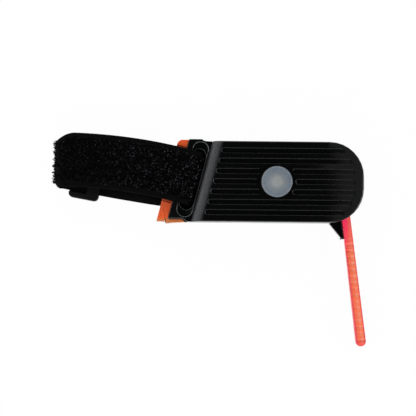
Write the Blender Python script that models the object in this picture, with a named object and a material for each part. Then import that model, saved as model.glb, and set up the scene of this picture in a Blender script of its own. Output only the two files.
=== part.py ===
"""Tourniquet with a folding tightening lever.

The lever winds a reel. The reel draws a cord, the cord draws a carriage, and the
carriage pulls the strap's inner end into the body. X runs along the body toward its
rounded end, Y across it and Z up from the skin plate. The button's axis is X = Y = 0.
"""

import math

import bmesh
import bpy
from mathutils import Matrix, Vector

MM = 0.001

# Body in plan
BODY_WIDTH = 55.2 * MM
END_X = 59.6 * MM
END_RADIUS = 23.5 * MM
SLANT = math.radians(14.5)
FACE_RUN = 44.9 * MM
SLOPE_RUN = 6.3 * MM
SLOPE_STEPS = 4
PLATE_RUN = 16.3 * MM
PLATE_SIDE = 1.4 * MM
SIDE_INSET = 2.2 * MM
WALL = 1.8 * MM
GAP = 0.3 * MM

# Body in height
SKIN_THICK = 2.4 * MM
LEVER_THICK = 6.0 * MM
FLOOR_THICK = 1.6 * MM
CAVITY_HEIGHT = 11.2 * MM
ROOF_THICK = 3.2 * MM
REAR_WALL = 5.8 * MM
PLATE_DROP = 4.2 * MM
PLATE_THICK = 3.0 * MM
DROOP = math.radians(6.0)
BEND_INSET = 24.9 * MM

# Ribbed face
GROOVE_COUNT = 7
GROOVE_PITCH = 7.05 * MM
GROOVE_WIDTH = 3.5 * MM
GROOVE_DEPTH = 1.2 * MM
GROOVE_START = 1.6 * MM
GROOVE_INSET = 6.0 * MM

# Button
BUTTON_RADIUS = 10.7 * MM
BUTTON_TRAVEL = 1.5 * MM
SEAL_WIDTH = 1.2 * MM
CELL_RADIUS = 8.0 * MM
CELL_HEIGHT = 3.0 * MM
HOLDER_WALL = 1.3 * MM
HOLDER_FLOOR = 1.2 * MM
HOLDER_HEIGHT = 5.1 * MM
BOARD_RADIUS = 9.0 * MM
BOARD_THICK = 1.0 * MM

# Strap, slot and keeper
STRAP_WIDTH = 37.2 * MM
STRAP_THICK = 1.8 * MM
STRAP_LENGTH_OUT = 87.36 * MM
STRAP_LOW = 3.3 * MM
STRAP_DROP = 3.4 * MM
WRAP_Y = 2.05 * MM
TAIL_LENGTH = 46.8 * MM
SLOT_RADIUS = 5.4 * MM
SLOT_HALF = 21.1 * MM
SLOT_BAR = 4.1 * MM
SLOT_SHIFT = 1.55 * MM
SLOT_LEDGE = 1.6 * MM
THROUGH_RADIUS = 4.9 * MM
THROUGH_HALF = 16.6 * MM
MOUTH_HEIGHT = 2.6 * MM
LIP_RUN = 7.6 * MM
LIP_SHORT = 0.4 * MM
LIP_RISE = 1.3 * MM
TAB_LENGTH = 16 * MM
TAB_PROUD = 0.8 * MM
KEEPER_LENGTH = 21 * MM
KEEPER_HALF = 23.2 * MM
KEEPER_SHORT = 2.0 * MM
KEEPER_HEIGHT = 6.4 * MM
KEEPER_BAR = 8.6 * MM
KEEPER_SETBACK = 15 * MM

# Reel, pawls and carriage
REEL_INSET = 25.6 * MM
AXLE_RADIUS = 2.5 * MM
DRUM_RADIUS = 11.0 * MM
FLANGE_RADIUS = 16.5 * MM
NECK_RADIUS = 4.9 * MM
COLLAR_RADIUS = 6 * MM
REEL_HEIGHT = 7.2 * MM
CORD_RADIUS = 0.75 * MM
CORD_TURNS = 1.2
CORD_PITCH = 1.95 * MM
HOLD_TEETH = 24
HOLD_TOOTH = 1.0 * MM
DRIVE_TEETH = 12
DRIVE_SOCKET = 4.8 * MM
DRIVE_RADIUS = 7.5 * MM
DRIVE_TOOTH = 1.5 * MM
PAWL_TOOTH = 6
PAWL_REACH = 6.8 * MM
PAWL_RISE = 2.0 * MM
ROD_X = -38.5 * MM
ROD_RADIUS = 1.2 * MM

# Lever
LEVER_ANGLE = math.radians(-83)
HUB_RADIUS = 15.3 * MM
HUB_CAVITY = 12.8 * MM
HUB_FLOOR = 1.5 * MM
ARM_REACH = 39.3 * MM
GRIP_OFFSET = 11.8 * MM
GRIP_ROOT_WIDTH = 5.6 * MM
GRIP_TIP_WIDTH = 6.9 * MM
GRIP_REACH = 114 * MM
GRIP_START = 15 * MM
RIB_COUNT = 16
RIB_PITCH = 4.4 * MM

# Worked out from the sizes above
HALF = BODY_WIDTH / 2
LIP_LOW = LIP_SHORT - HALF
TUNNEL_LOW = SIDE_INSET + 1.6 * MM - HALF
LIP_HIGH = HALF + LIP_RISE
FACE_X = -FACE_RUN
SLOPE_X = FACE_X - SLOPE_RUN
PLATE_X = SLOPE_X - PLATE_RUN
REEL_X = END_X - REEL_INSET
BEND_X = END_X - BEND_INSET
Z_LEVER = SKIN_THICK + GAP
Z_FLOOR = Z_LEVER + LEVER_THICK + GAP
Z_CAVITY = Z_FLOOR + FLOOR_THICK
Z_PART = Z_CAVITY + REAR_WALL
Z_ROOF = Z_CAVITY + CAVITY_HEIGHT
Z_FACE = Z_ROOF + ROOF_THICK
Z_PLATE = Z_FACE - PLATE_DROP
Z_BAR = Z_PLATE - PLATE_THICK
GUIDE_FLOOR = 0.8 * MM
Z_MOUTH = Z_CAVITY + GAP + GUIDE_FLOOR
Z_STRAP_IN = Z_MOUTH + MOUTH_HEIGHT / 2
Z_TAIL = Z_BAR - GAP - STRAP_THICK / 2
Z_FRONT = Z_PLATE + GAP + STRAP_THICK / 2
BAR_X = PLATE_X + SLOT_BAR
SLOT_X = BAR_X + SLOT_RADIUS / math.cos(SLANT)
Z_REEL = Z_CAVITY + GAP
Z_CORD = Z_REEL + 1.2 * MM + GAP + CORD_RADIUS + CORD_TURNS * CORD_PITCH
Z_FLANGE = Z_REEL + REEL_HEIGHT
LOOP_RADIUS = ROD_RADIUS + 0.25 * MM + STRAP_THICK / 2
Z_ROD = Z_STRAP_IN + LOOP_RADIUS
CORD_Y = DRUM_RADIUS + GAP + CORD_RADIUS
LEAF_X = REEL_X - (FLANGE_RADIUS - 2 * MM)
ROCKER_Y = -10.6 * MM
ROCKER_X = 11.5 * MM
Z_ROCKER = Z_FLANGE + 1.2 * MM
POST = (LEAF_X, -(HALF - 6 * MM))
COVER_SCREWS = (
    (END_X - 11 * MM, HALF - 9 * MM),
    (END_X - 11 * MM, 9 * MM - HALF),
    (-6 * MM, HALF - 4.5 * MM),
    (-6 * MM, 4.5 * MM - HALF),
)
STAND_Y = HALF - 6.5 * MM
SKIN_SCREWS = (
    (-24 * MM, HALF - 4.4 * MM),
    (24 * MM, HALF - 4.4 * MM),
    (-52 * MM, 4 * MM),
)

FINISHES = {
    "black_plastic": ((0.012, 0.013, 0.014, 1), 0.0, 0.45),
    "black_rubber": ((0.010, 0.010, 0.011, 1), 0.0, 0.75),
    "orange_plastic": ((0.62, 0.12, 0.025, 1), 0.0, 0.40),
    "red_clear": ((0.80, 0.10, 0.06, 1), 0.0, 0.20),
    "frosted_clear": ((0.30, 0.33, 0.36, 1), 0.0, 0.50),
    "webbing": ((0.016, 0.016, 0.017, 1), 0.0, 0.95),
    "steel": ((0.55, 0.56, 0.58, 1), 1.0, 0.32),
    "grey_nylon": ((0.18, 0.18, 0.19, 1), 0.0, 0.50),
    "green_board": ((0.02, 0.16, 0.06, 1), 0.0, 0.50),
    "pale_lens": ((0.85, 0.82, 0.60, 1), 0.0, 0.30),
    "cord": ((0.62, 0.60, 0.52, 1), 0.0, 0.80),
}


def clear_scene():
    for item in list(bpy.data.objects):
        bpy.data.objects.remove(item, do_unlink=True)


def finish(name):
    """Returns the named material, made on its first use."""
    found = bpy.data.materials.get(name)
    if found:
        return found
    colour, metal, rough = FINISHES[name]
    made = bpy.data.materials.new(name)
    made.use_nodes = True
    shader = made.node_tree.nodes["Principled BSDF"]
    shader.inputs["Base Color"].default_value = colour
    shader.inputs["Metallic"].default_value = metal
    shader.inputs["Roughness"].default_value = rough
    return made


# Plan outlines


def slanted(x, y):
    """X at height y of the line through (x, 0) that runs along the slanted end."""
    return x + y * math.tan(SLANT)


def arc(centre, radius, start, stop, steps=8):
    """Points on a circle between two angles in degrees."""
    points = []
    for i in range(steps + 1):
        turn = math.radians(start + (stop - start) * i / steps)
        points.append((centre[0] + radius * math.cos(turn), centre[1] + radius * math.sin(turn)))
    return points


def body_outline(left, inset=0.0):
    """The body in plan, slanted at the left and rounded at the right."""
    half = HALF - inset
    radius = END_RADIUS - inset
    end = END_X - inset
    points = [(slanted(left, -half), -half)]
    points += arc((end - radius, radius - half), radius, -90, 0)
    points += arc((end - radius, half - radius), radius, 0, 90)
    points.append((slanted(left, half), half))
    return points


def end_x(y):
    """X of the rounded end at height y."""
    flat = HALF - END_RADIUS
    over = max(0.0, abs(y) - flat)
    return END_X - END_RADIUS + math.sqrt(END_RADIUS**2 - over**2)


def leaning(left, right, low, high):
    """A strip between two lines that run along the slanted end."""
    return [
        (slanted(left, low), low),
        (slanted(right, low), low),
        (slanted(right, high), high),
        (slanted(left, high), high),
    ]


def stadium(left, right, y, radius, steps=6):
    """A slot in plan with round ends, from its left tip to its right tip."""
    points = arc((right - radius, y), radius, -90, 90, steps)
    return points + arc((left + radius, y), radius, 90, 270, steps)


def rounded(left, right, low, high, radius, steps=3):
    """A rectangle in plan with round corners."""
    points = arc((right - radius, low + radius), radius, -90, 0, steps)
    points += arc((right - radius, high - radius), radius, 0, 90, steps)
    points += arc((left + radius, high - radius), radius, 90, 180, steps)
    return points + arc((left + radius, low + radius), radius, 180, 270, steps)


# Closed shapes


def prism(outline, low, high):
    """A plan outline raised from one level to another."""
    shape = bmesh.new()
    face = shape.faces.new([shape.verts.new((x, y, low)) for x, y in outline])
    raised = bmesh.ops.extrude_face_region(shape, geom=[face])["geom"]
    tops = [item for item in raised if isinstance(item, bmesh.types.BMVert)]
    bmesh.ops.translate(shape, verts=tops, vec=(0, 0, high - low))
    bmesh.ops.remove_doubles(shape, verts=shape.verts[:], dist=1e-7)
    bmesh.ops.recalc_face_normals(shape, faces=shape.faces[:])
    return shape


def disc(x, y, radius, low, high, sides=24):
    """An upright cylinder."""
    shape = bmesh.new()
    bmesh.ops.create_cone(
        shape,
        cap_ends=True,
        segments=sides,
        radius1=radius,
        radius2=radius,
        depth=high - low,
        matrix=Matrix.Translation((x, y, (low + high) / 2)),
    )
    return shape


def box(x0, x1, y0, y1, z0, z1):
    return prism([(x0, y0), (x1, y0), (x1, y1), (x0, y1)], z0, z1)


def turned(profile, sides=32):
    """A solid of revolution about Z from a closed (radius, height) profile."""
    shape = bmesh.new()
    ring = [shape.verts.new((r, 0, z)) for r, z in profile]
    edges = [shape.edges.new((a, b)) for a, b in zip(ring, ring[1:] + ring[:1])]
    bmesh.ops.spin(
        shape,
        geom=ring + edges,
        cent=(0, 0, 0),
        axis=(0, 0, 1),
        angle=math.tau,
        steps=sides,
        use_merge=True,
    )
    bmesh.ops.remove_doubles(shape, verts=shape.verts[:], dist=1e-6)
    for edge in [edge for edge in shape.edges if not edge.link_faces]:
        shape.edges.remove(edge)
    bmesh.ops.recalc_face_normals(shape, faces=shape.faces[:])
    return shape


def moved(shape, matrix):
    bmesh.ops.transform(shape, matrix=matrix, verts=shape.verts[:])
    return shape


def along_y(shape, x, y, z):
    """Lays an upright shape made round Z = 0 down along Y."""
    return moved(shape, Matrix.Translation((x, y, z)) @ Matrix.Rotation(math.pi / 2, 4, "X"))


def along_x(shape, x, y, z):
    """Lays an upright shape made round Z = 0 down along X."""
    return moved(shape, Matrix.Translation((x, y, z)) @ Matrix.Rotation(math.pi / 2, 4, "Y"))


def merged(*shapes):
    """Several shapes that don't meet, in one."""
    whole = bmesh.new()
    for shape in shapes:
        mesh = bpy.data.meshes.new("scratch")
        shape.to_mesh(mesh)
        shape.free()
        whole.from_mesh(mesh)
        bpy.data.meshes.remove(mesh)
    return whole


def drooped(shape, above=-1.0):
    """Tilts down what lies past the bend line and above a level."""
    everything = shape.verts[:] + shape.edges[:] + shape.faces[:]
    bmesh.ops.bisect_plane(
        shape, geom=everything, dist=1e-7, plane_co=(BEND_X, 0, 0), plane_no=(1, 0, 0)
    )
    for vert in shape.verts:
        if vert.co.x > BEND_X and vert.co.z > above:
            vert.co.z -= (vert.co.x - BEND_X) * math.tan(DROOP)
    return shape


def edges_where(shape, test):
    """Edges whose two ends both pass a test on their place."""
    return [edge for edge in shape.edges if all(test(vert.co) for vert in edge.verts)]


def softened(shape, edges, width, segments=2):
    bmesh.ops.bevel(
        shape,
        geom=edges,
        offset=width,
        segments=segments,
        profile=0.5,
        affect="EDGES",
        clamp_overlap=True,
    )
    return shape


# Objects


def axis_empty(name, place, turn=0.0):
    """An empty on a joint's axis, that the moving pieces hang from."""
    empty = bpy.data.objects.new(name, None)
    empty.location = place
    empty.rotation_euler.z = turn
    empty.empty_display_size = 5 * MM
    bpy.context.scene.collection.objects.link(empty)
    return empty


def place(name, shape, material, parent=None):
    """Makes a named object from a shape."""
    mesh = bpy.data.meshes.new(name)
    shape.to_mesh(mesh)
    shape.free()
    if material:
        mesh.materials.append(finish(material))
    item = bpy.data.objects.new(name, mesh)
    item.parent = parent
    bpy.context.scene.collection.objects.link(item)
    return item


def combine(item, shape, operation):
    """Adds or cuts away a shape through a Boolean with a hidden tool."""
    number = len(item.modifiers) + 1
    tool = place(f"{item.name}_tool_{number}", shape, None, item.parent)
    tool.hide_render = True
    tool.display_type = "WIRE"
    modifier = item.modifiers.new(f"{operation.lower()}_{number}", "BOOLEAN")
    modifier.operation = operation
    modifier.solver = "EXACT"
    modifier.object = tool


def fuse(item, shape):
    combine(item, shape, "UNION")


def cut(item, shape):
    combine(item, shape, "DIFFERENCE")


# Body


def build_front_cover():
    low = Z_PART + GAP
    shell = drooped(prism(body_outline(SLOPE_X), low, Z_FACE), low + 1 * MM)
    line = Vector((math.tan(SLANT), 1, 0))
    curve = []
    for i in range(SLOPE_STEPS + 1):
        turn = math.pi / 2 * i / SLOPE_STEPS
        x = FACE_X - SLOPE_RUN * math.sin(turn)
        curve.append(Vector((x, 0, Z_PLATE + PLATE_DROP * math.cos(turn))))
    for one, two in zip(curve, curve[1:]):
        cut_away = bmesh.ops.bisect_plane(
            shell,
            geom=shell.verts[:] + shell.edges[:] + shell.faces[:],
            dist=1e-7,
            plane_co=one,
            plane_no=line.cross(two - one),
            clear_outer=True,
        )["geom_cut"]
        rim = [item for item in cut_away if isinstance(item, bmesh.types.BMEdge)]
        bmesh.ops.holes_fill(shell, edges=rim)
    bmesh.ops.recalc_face_normals(shell, faces=shell.faces[:])
    top = []
    for edge in shell.edges:
        ups = sorted(face.normal.z for face in edge.link_faces)
        if ups[0] < 0.3 and ups[-1] > 0.6:
            top.append(edge)
    softened(shell, top, 1.0 * MM)
    cover = place("front_cover", shell, "black_plastic")

    hollow = prism(body_outline(FACE_X - 3.6 * MM, WALL), low - 2 * MM, Z_ROOF)
    cut(cover, drooped(hollow, Z_PART))
    bosses = [disc(x, y, 3.0 * MM, low, Z_ROOF - 0.2 * MM) for x, y in COVER_SCREWS]
    bosses = [drooped(boss, low + 1 * MM) for boss in bosses]
    for boss in bosses:
        for vert in boss.verts:
            if vert.co.z > low + 1 * MM:
                vert.co.z += 0.8 * MM
    fuse(cover, merged(*bosses))
    fuse(cover, disc(REEL_X, 0, 5.0 * MM, Z_FLANGE + HOLD_TOOTH + 1.2 * MM, Z_ROOF + 0.6 * MM))
    holes = [disc(x, y, 1.3 * MM, low - 1 * MM, Z_ROOF - 2.8 * MM, 16) for x, y in COVER_SCREWS]
    bearing = disc(REEL_X, 0, AXLE_RADIUS + GAP, Z_ROOF - 4 * MM, Z_ROOF + 0.3 * MM, 20)
    cut(cover, merged(bearing, *holes))
    cut(cover, disc(0, 0, BUTTON_RADIUS + GAP, Z_ROOF - 1 * MM, Z_FACE + 1 * MM, 48))
    recess = BUTTON_RADIUS + GAP + SEAL_WIDTH
    cut(cover, disc(0, 0, recess, Z_FACE - 1.4 * MM, Z_FACE + 1 * MM, 48))

    grooves = []
    radius = GROOVE_WIDTH / 2
    clear = recess + 0.6 * MM
    for i in range(GROOVE_COUNT):
        y = (i - (GROOVE_COUNT - 1) / 2) * GROOVE_PITCH
        left = slanted(FACE_X + GROOVE_START, y)
        right = end_x(y) - GROOVE_INSET
        spans = [(left, right)]
        if abs(y) < clear:
            half = math.sqrt(clear**2 - y**2)
            spans = [(left, -half), (half, right)]
        for start, stop in spans:
            outline = stadium(start, stop, y, radius)
            grooves.append(drooped(prism(outline, Z_FACE - GROOVE_DEPTH, Z_FACE + 4 * MM)))
    cut(cover, merged(*grooves))


def side_recess():
    """Where the guide's longer tab lies against the shell, in plan."""
    start = slanted(PLATE_X - 6 * MM, -HALF)
    end = slanted(PLATE_X - 4 * MM, -HALF) + TAB_LENGTH
    return [
        (start, -HALF - 2 * MM),
        (end + 1.2 * MM, -HALF - 2 * MM),
        (end + 1.2 * MM, GAP - HALF),
        (end - 2 * MM + GAP, SIDE_INSET - HALF),
        (start, SIDE_INSET - HALF),
    ]


def build_rear_shell():
    shell = place("rear_shell", prism(body_outline(PLATE_X), Z_FLOOR, Z_PART), "black_plastic")
    bridge = leaning(PLATE_X, SLOPE_X - GAP, -HALF, HALF)
    fuse(shell, prism(bridge, Z_FLOOR + 0.5 * MM, Z_PART + 1 * MM))
    wide = leaning(PLATE_X, SLOPE_X - GAP, -HALF, HALF + PLATE_SIDE)
    corner = slanted(SLOPE_X - GAP, HALF) - 2.6 * MM
    wide[2:3] = [(corner + 2.6 * MM, HALF)]
    for turn in (0, 30, 60, 90):
        x = corner - 4 * MM * math.sin(math.radians(turn))
        wide.insert(-1, (x, HALF + PLATE_SIDE * (1 - math.cos(math.radians(turn)))))
    fuse(shell, prism(wide, Z_PART, Z_PLATE))
    stand = [
        (slanted(PLATE_X + 1 * MM, -6 * MM), -6 * MM),
        (-44 * MM, -6 * MM),
        (-44 * MM, STAND_Y),
        (END_X - END_RADIUS - 1 * MM, STAND_Y),
        (END_X - END_RADIUS - 1 * MM, HALF),
        (slanted(PLATE_X + 1 * MM, HALF), HALF),
    ]
    fuse(shell, prism(stand, Z_LEVER, Z_FLOOR + 0.5 * MM))
    tunnel = leaning(PLATE_X - 4 * MM, SLOPE_X + 6 * MM, TUNNEL_LOW, HALF - WALL)
    cut(shell, prism(tunnel, Z_CAVITY, Z_BAR))
    cut(shell, prism(side_recess(), Z_FLOOR + 1 * MM, Z_PLATE + 1 * MM))
    cut(shell, prism(body_outline(SLOPE_X - GAP, WALL), Z_CAVITY, Z_PLATE + 2 * MM))
    quarter = Matrix.Rotation(math.pi / 2 - SLANT, 4, "Z")
    along = Matrix.Translation((SLOT_X, 0, 0)) @ quarter @ Matrix.Translation((SLOT_SHIFT, 0, 0))
    pocket = stadium(-SLOT_HALF - SLOT_RADIUS, SLOT_HALF + SLOT_RADIUS, 0, SLOT_RADIUS, 10)
    cut(shell, moved(prism(pocket, Z_PLATE - SLOT_LEDGE, Z_PLATE + 1 * MM), along))
    reach = THROUGH_HALF + THROUGH_RADIUS
    through = stadium(-reach, reach, 0, THROUGH_RADIUS, 10)
    cut(shell, moved(prism(through, Z_BAR - 1 * MM, Z_PLATE + 1 * MM), along))

    bosses = [disc(x, y, 3.2 * MM, Z_FLOOR + 0.5 * MM, Z_PART - GAP) for x, y in COVER_SCREWS]
    bosses.append(disc(POST[0], POST[1], 2.8 * MM, Z_FLOOR + 0.5 * MM, Z_FLANGE + HOLD_TOOTH))
    for side in (-1, 1):
        middle = ROCKER_Y + side * 2.3 * MM
        ear = (ROCKER_X - 1.5 * MM, ROCKER_X + 1.5 * MM, middle - 0.8 * MM, middle + 0.8 * MM)
        bosses.append(box(*ear, Z_FLOOR + 0.5 * MM, Z_ROCKER + 1.6 * MM))
    fuse(shell, merged(*bosses))

    holes = [disc(REEL_X, 0, NECK_RADIUS + 0.4 * MM, Z_FLOOR - 1 * MM, Z_CAVITY + 1 * MM, 28)]
    holes.append(disc(POST[0], POST[1], 1.1 * MM, Z_FLANGE - 6 * MM, Z_FLANGE + 3 * MM, 16))
    for x, y in COVER_SCREWS:
        holes.append(disc(x, y, 1.3 * MM, Z_FLOOR + 1 * MM, Z_PART + 1 * MM, 16))
    for x, y in SKIN_SCREWS:
        holes.append(disc(x, y, 1.3 * MM, Z_LEVER - 1 * MM, Z_LEVER + 4.8 * MM, 16))
    pin = disc(0, 0, 1.0 * MM + GAP, -4 * MM, 4 * MM, 16)
    holes.append(along_y(pin, ROCKER_X, ROCKER_Y, Z_ROCKER))
    cut(shell, merged(*holes))
    heads = [disc(x, y, 2.5 * MM, Z_FLOOR - 1 * MM, Z_FLOOR + 1.8 * MM, 20) for x, y in COVER_SCREWS]
    cut(shell, merged(*heads))


def build_strap_guide():
    low = Z_FLOOR
    high = Z_BAR - 0.8 * MM
    shape = prism(leaning(PLATE_X - LIP_RUN, PLATE_X - GAP, LIP_LOW, LIP_HIGH), low, high)
    upright = [
        edge
        for edge in shape.edges
        if abs(edge.verts[0].co.z - edge.verts[1].co.z) > MM
        and edge.verts[0].co.x < slanted(PLATE_X - LIP_RUN / 2, edge.verts[0].co.y)
    ]
    softened(shape, [edge for edge in upright if edge.verts[0].co.y > 0], 2.6 * MM, 3)
    left = []
    for edge in shape.edges:
        ups = [abs(face.normal.z) for face in edge.link_faces]
        out = min(face.normal.x for face in edge.link_faces)
        if max(ups) > 0.9 and min(ups) < 0.1 and out < -0.3:
            left.append(edge)
    softened(shape, left, 2.2 * MM, 3)
    guide = place("strap_guide", shape, "orange_plastic")
    inside = HALF - WALL - GAP
    sleeve = leaning(PLATE_X - 2 * MM, PLATE_X + SLOT_BAR, TUNNEL_LOW + GAP, inside)
    roof = Z_TAIL - STRAP_THICK / 2 - GAP
    fuse(guide, prism(sleeve, Z_CAVITY + GAP, roof))
    start = slanted(PLATE_X - 4 * MM, -HALF)
    end = start + TAB_LENGTH
    tab = [
        (start + 2.6 * MM, -HALF - TAB_PROUD),
        (end, -HALF),
        (end - 2 * MM, SIDE_INSET - GAP - HALF),
        (start, SIDE_INSET - GAP - HALF),
    ]
    fuse(guide, prism(tab, Z_FLOOR + 1.3 * MM, high))
    y = HALF + GAP
    start = slanted(PLATE_X - 4 * MM, y)
    tab = [(start, y), (start + TAB_LENGTH, y)]
    tab.append((start + TAB_LENGTH, y + 0.4 * MM))
    tab.append((start, y + 0.9 * MM))
    fuse(guide, prism(tab, Z_FLOOR + 1 * MM, Z_PART - 1 * MM))
    wide = STRAP_WIDTH / 2 + 3.6 * MM
    mouth = leaning(PLATE_X - LIP_RUN - 4 * MM, PLATE_X + 12 * MM, -wide, wide)
    cut(guide, prism(mouth, Z_MOUTH, Z_MOUTH + MOUTH_HEIGHT))
    tilt = Matrix.Translation((PLATE_X, 0, 0)) @ Matrix.Rotation(-SLANT, 4, "Z")
    beside = STRAP_WIDTH / 2 + 1.4 * MM
    middle = WRAP_Y + 2.3 * MM
    dip = box(-LIP_RUN - 4 * MM, 1 * MM, middle - beside, middle + beside, roof, high + 1 * MM)
    cut(guide, moved(dip, tilt))
    nick = slanted(PLATE_X - 2.2 * MM, LIP_LOW)
    wedge = [(nick - 0.9 * MM, LIP_LOW - 1 * MM), (nick + 0.9 * MM, LIP_LOW - 1 * MM)]
    wedge.append((nick, LIP_LOW + 0.9 * MM))
    cut(guide, prism(wedge, low - 1 * MM, high + 1 * MM))


def build_skin_plate():
    shape = prism(body_outline(PLATE_X + 1.5 * MM, 1.2 * MM), 0, SKIN_THICK)
    rim = edges_where(shape, lambda co: co.z < 1e-6)
    softened(shape, rim, 0.8 * MM)
    plate = place("skin_plate", shape, "black_rubber")
    holes = [disc(REEL_X, 0, AXLE_RADIUS + GAP, -1 * MM, SKIN_THICK + 1 * MM, 20)]
    for x, y in SKIN_SCREWS:
        holes.append(disc(x, y, 1.3 * MM, -1 * MM, SKIN_THICK + 1 * MM, 16))
    cut(plate, merged(*holes))
    sinks = [disc(REEL_X, 0, 4.8 * MM, -1 * MM, 1.5 * MM)]
    sinks += [disc(x, y, 2.6 * MM, -1 * MM, 1.5 * MM, 20) for x, y in SKIN_SCREWS]
    cut(plate, merged(*sinks))


def screw(name, x, y, low, head_high, tip, radius=1.0 * MM, head=2.2 * MM, parent=None):
    """A round-headed screw whose head lies below its shank."""
    profile = [(0, low), (head, low), (head, head_high), (radius, head_high), (radius, tip), (0, tip)]
    shape = moved(turned(profile, 12), Matrix.Translation((x, y, 0)))
    place(name, shape, "steel", parent)


def build_fasteners():
    for i, (x, y) in enumerate(COVER_SCREWS, 1):
        screw(f"cover_screw_{i}", x, y, Z_FLOOR + 0.2 * MM, Z_FLOOR + 1.5 * MM, Z_ROOF - 3.2 * MM)
    for i, (x, y) in enumerate(SKIN_SCREWS, 1):
        screw(f"skin_screw_{i}", x, y, 0.2 * MM, 1.2 * MM, Z_LEVER + 4.4 * MM)
    top = Z_FLANGE + HOLD_TOOTH + 0.3 * MM + 0.5 * MM + 0.3 * MM
    profile = [(0, top + 1.0 * MM), (1.7 * MM, top + 1.0 * MM), (1.7 * MM, top), (0.8 * MM, top)]
    profile += [(0.8 * MM, Z_FLANGE - 5.5 * MM), (0, Z_FLANGE - 5.5 * MM)]
    place("pawl_screw", moved(turned(profile, 12), Matrix.Translation((*POST, 0))), "steel")
    axle = [(0, 0.2 * MM), (4.5 * MM, 0.2 * MM), (4.5 * MM, 1.2 * MM), (AXLE_RADIUS, 1.2 * MM)]
    axle += [(AXLE_RADIUS, Z_ROOF), (0, Z_ROOF)]
    place("reel_axle", moved(turned(axle, 20), Matrix.Translation((REEL_X, 0, 0))), "steel")


# Button and light


def build_button():
    pivot = axis_empty("button_axis", (0, 0, 0))
    top = Z_ROOF - GAP
    low = top - 1.0 * MM
    inner = BUTTON_RADIUS - 1.8 * MM
    outer = BUTTON_RADIUS + GAP + 1.0 * MM
    profile = [
        (inner, low),
        (outer, low),
        (outer, top),
        (BUTTON_RADIUS, top),
        (BUTTON_RADIUS, Z_FACE + 0.1 * MM),
        (BUTTON_RADIUS - 0.3 * MM, Z_FACE + 0.5 * MM),
        (BUTTON_RADIUS - 1.2 * MM, Z_FACE + 0.8 * MM),
        (BUTTON_RADIUS * 0.5, Z_FACE + 1.2 * MM),
        (0, Z_FACE + 1.4 * MM),
        (0, Z_FACE - 1.0 * MM),
        (inner, Z_FACE - 1.0 * MM),
    ]
    place("button_cap", turned(profile, 40), "frosted_clear", pivot)

    hole = BUTTON_RADIUS + GAP
    low = Z_FACE - 1.4 * MM + GAP
    ring = [
        (hole + 0.05 * MM, low),
        (hole + SEAL_WIDTH - GAP, low),
        (hole + SEAL_WIDTH - GAP, Z_FACE - 0.3 * MM),
        (hole + 0.05 * MM, Z_FACE - 0.3 * MM),
    ]
    place("button_seal", turned(ring, 40), "black_rubber")

    holder_top = Z_REEL + HOLDER_HEIGHT
    inner = CELL_RADIUS + GAP
    outer = inner + HOLDER_WALL
    floor = Z_REEL + HOLDER_FLOOR
    cup = [(0, Z_REEL), (outer, Z_REEL), (outer, holder_top), (inner, holder_top), (inner, floor), (0, floor)]
    place("cell_holder", turned(cup, 32), "grey_nylon")
    cell_low = floor + GAP
    chamfer = CELL_HEIGHT / 5
    cell = [
        (0, cell_low),
        (CELL_RADIUS - chamfer, cell_low),
        (CELL_RADIUS, cell_low + chamfer),
        (CELL_RADIUS, cell_low + CELL_HEIGHT),
        (0, cell_low + CELL_HEIGHT),
    ]
    place("coin_cell", turned(cell, 32), "steel")
    board_low = holder_top + GAP
    board = board_low + BOARD_THICK
    place("led_board", disc(0, 0, BOARD_RADIUS, board_low, board, 32), "green_board")
    light = rounded(-1.8 * MM, 1.8 * MM, -1.4 * MM, 1.4 * MM, 0.4 * MM, 2)
    place("led", prism(light, board + GAP, board + 2.0 * MM), "pale_lens")

    spring = bpy.data.curves.new("button_spring", "CURVE")
    spring.dimensions = "3D"
    spring.bevel_depth = 0.35 * MM
    spring.bevel_resolution = 1
    spring.use_fill_caps = True
    wire = spring.splines.new("POLY")
    turns = 2.5
    steps = 24
    start = board + GAP + 0.35 * MM
    stop = Z_FACE - 1.0 * MM - GAP - 0.35 * MM
    wire.points.add(steps)
    for i in range(steps + 1):
        turn = math.tau * turns * i / steps
        height = start + (stop - start) * i / steps
        wire.points[i].co = (6.5 * MM * math.cos(turn), 6.5 * MM * math.sin(turn), height, 1)
    spring.materials.append(finish("steel"))
    coil = bpy.data.objects.new("button_spring", spring)
    coil.parent = pivot
    bpy.context.scene.collection.objects.link(coil)
    print("button_spring least gap", round(((stop - start) / turns - 0.7 * MM) / MM, 2), "mm")


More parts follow.
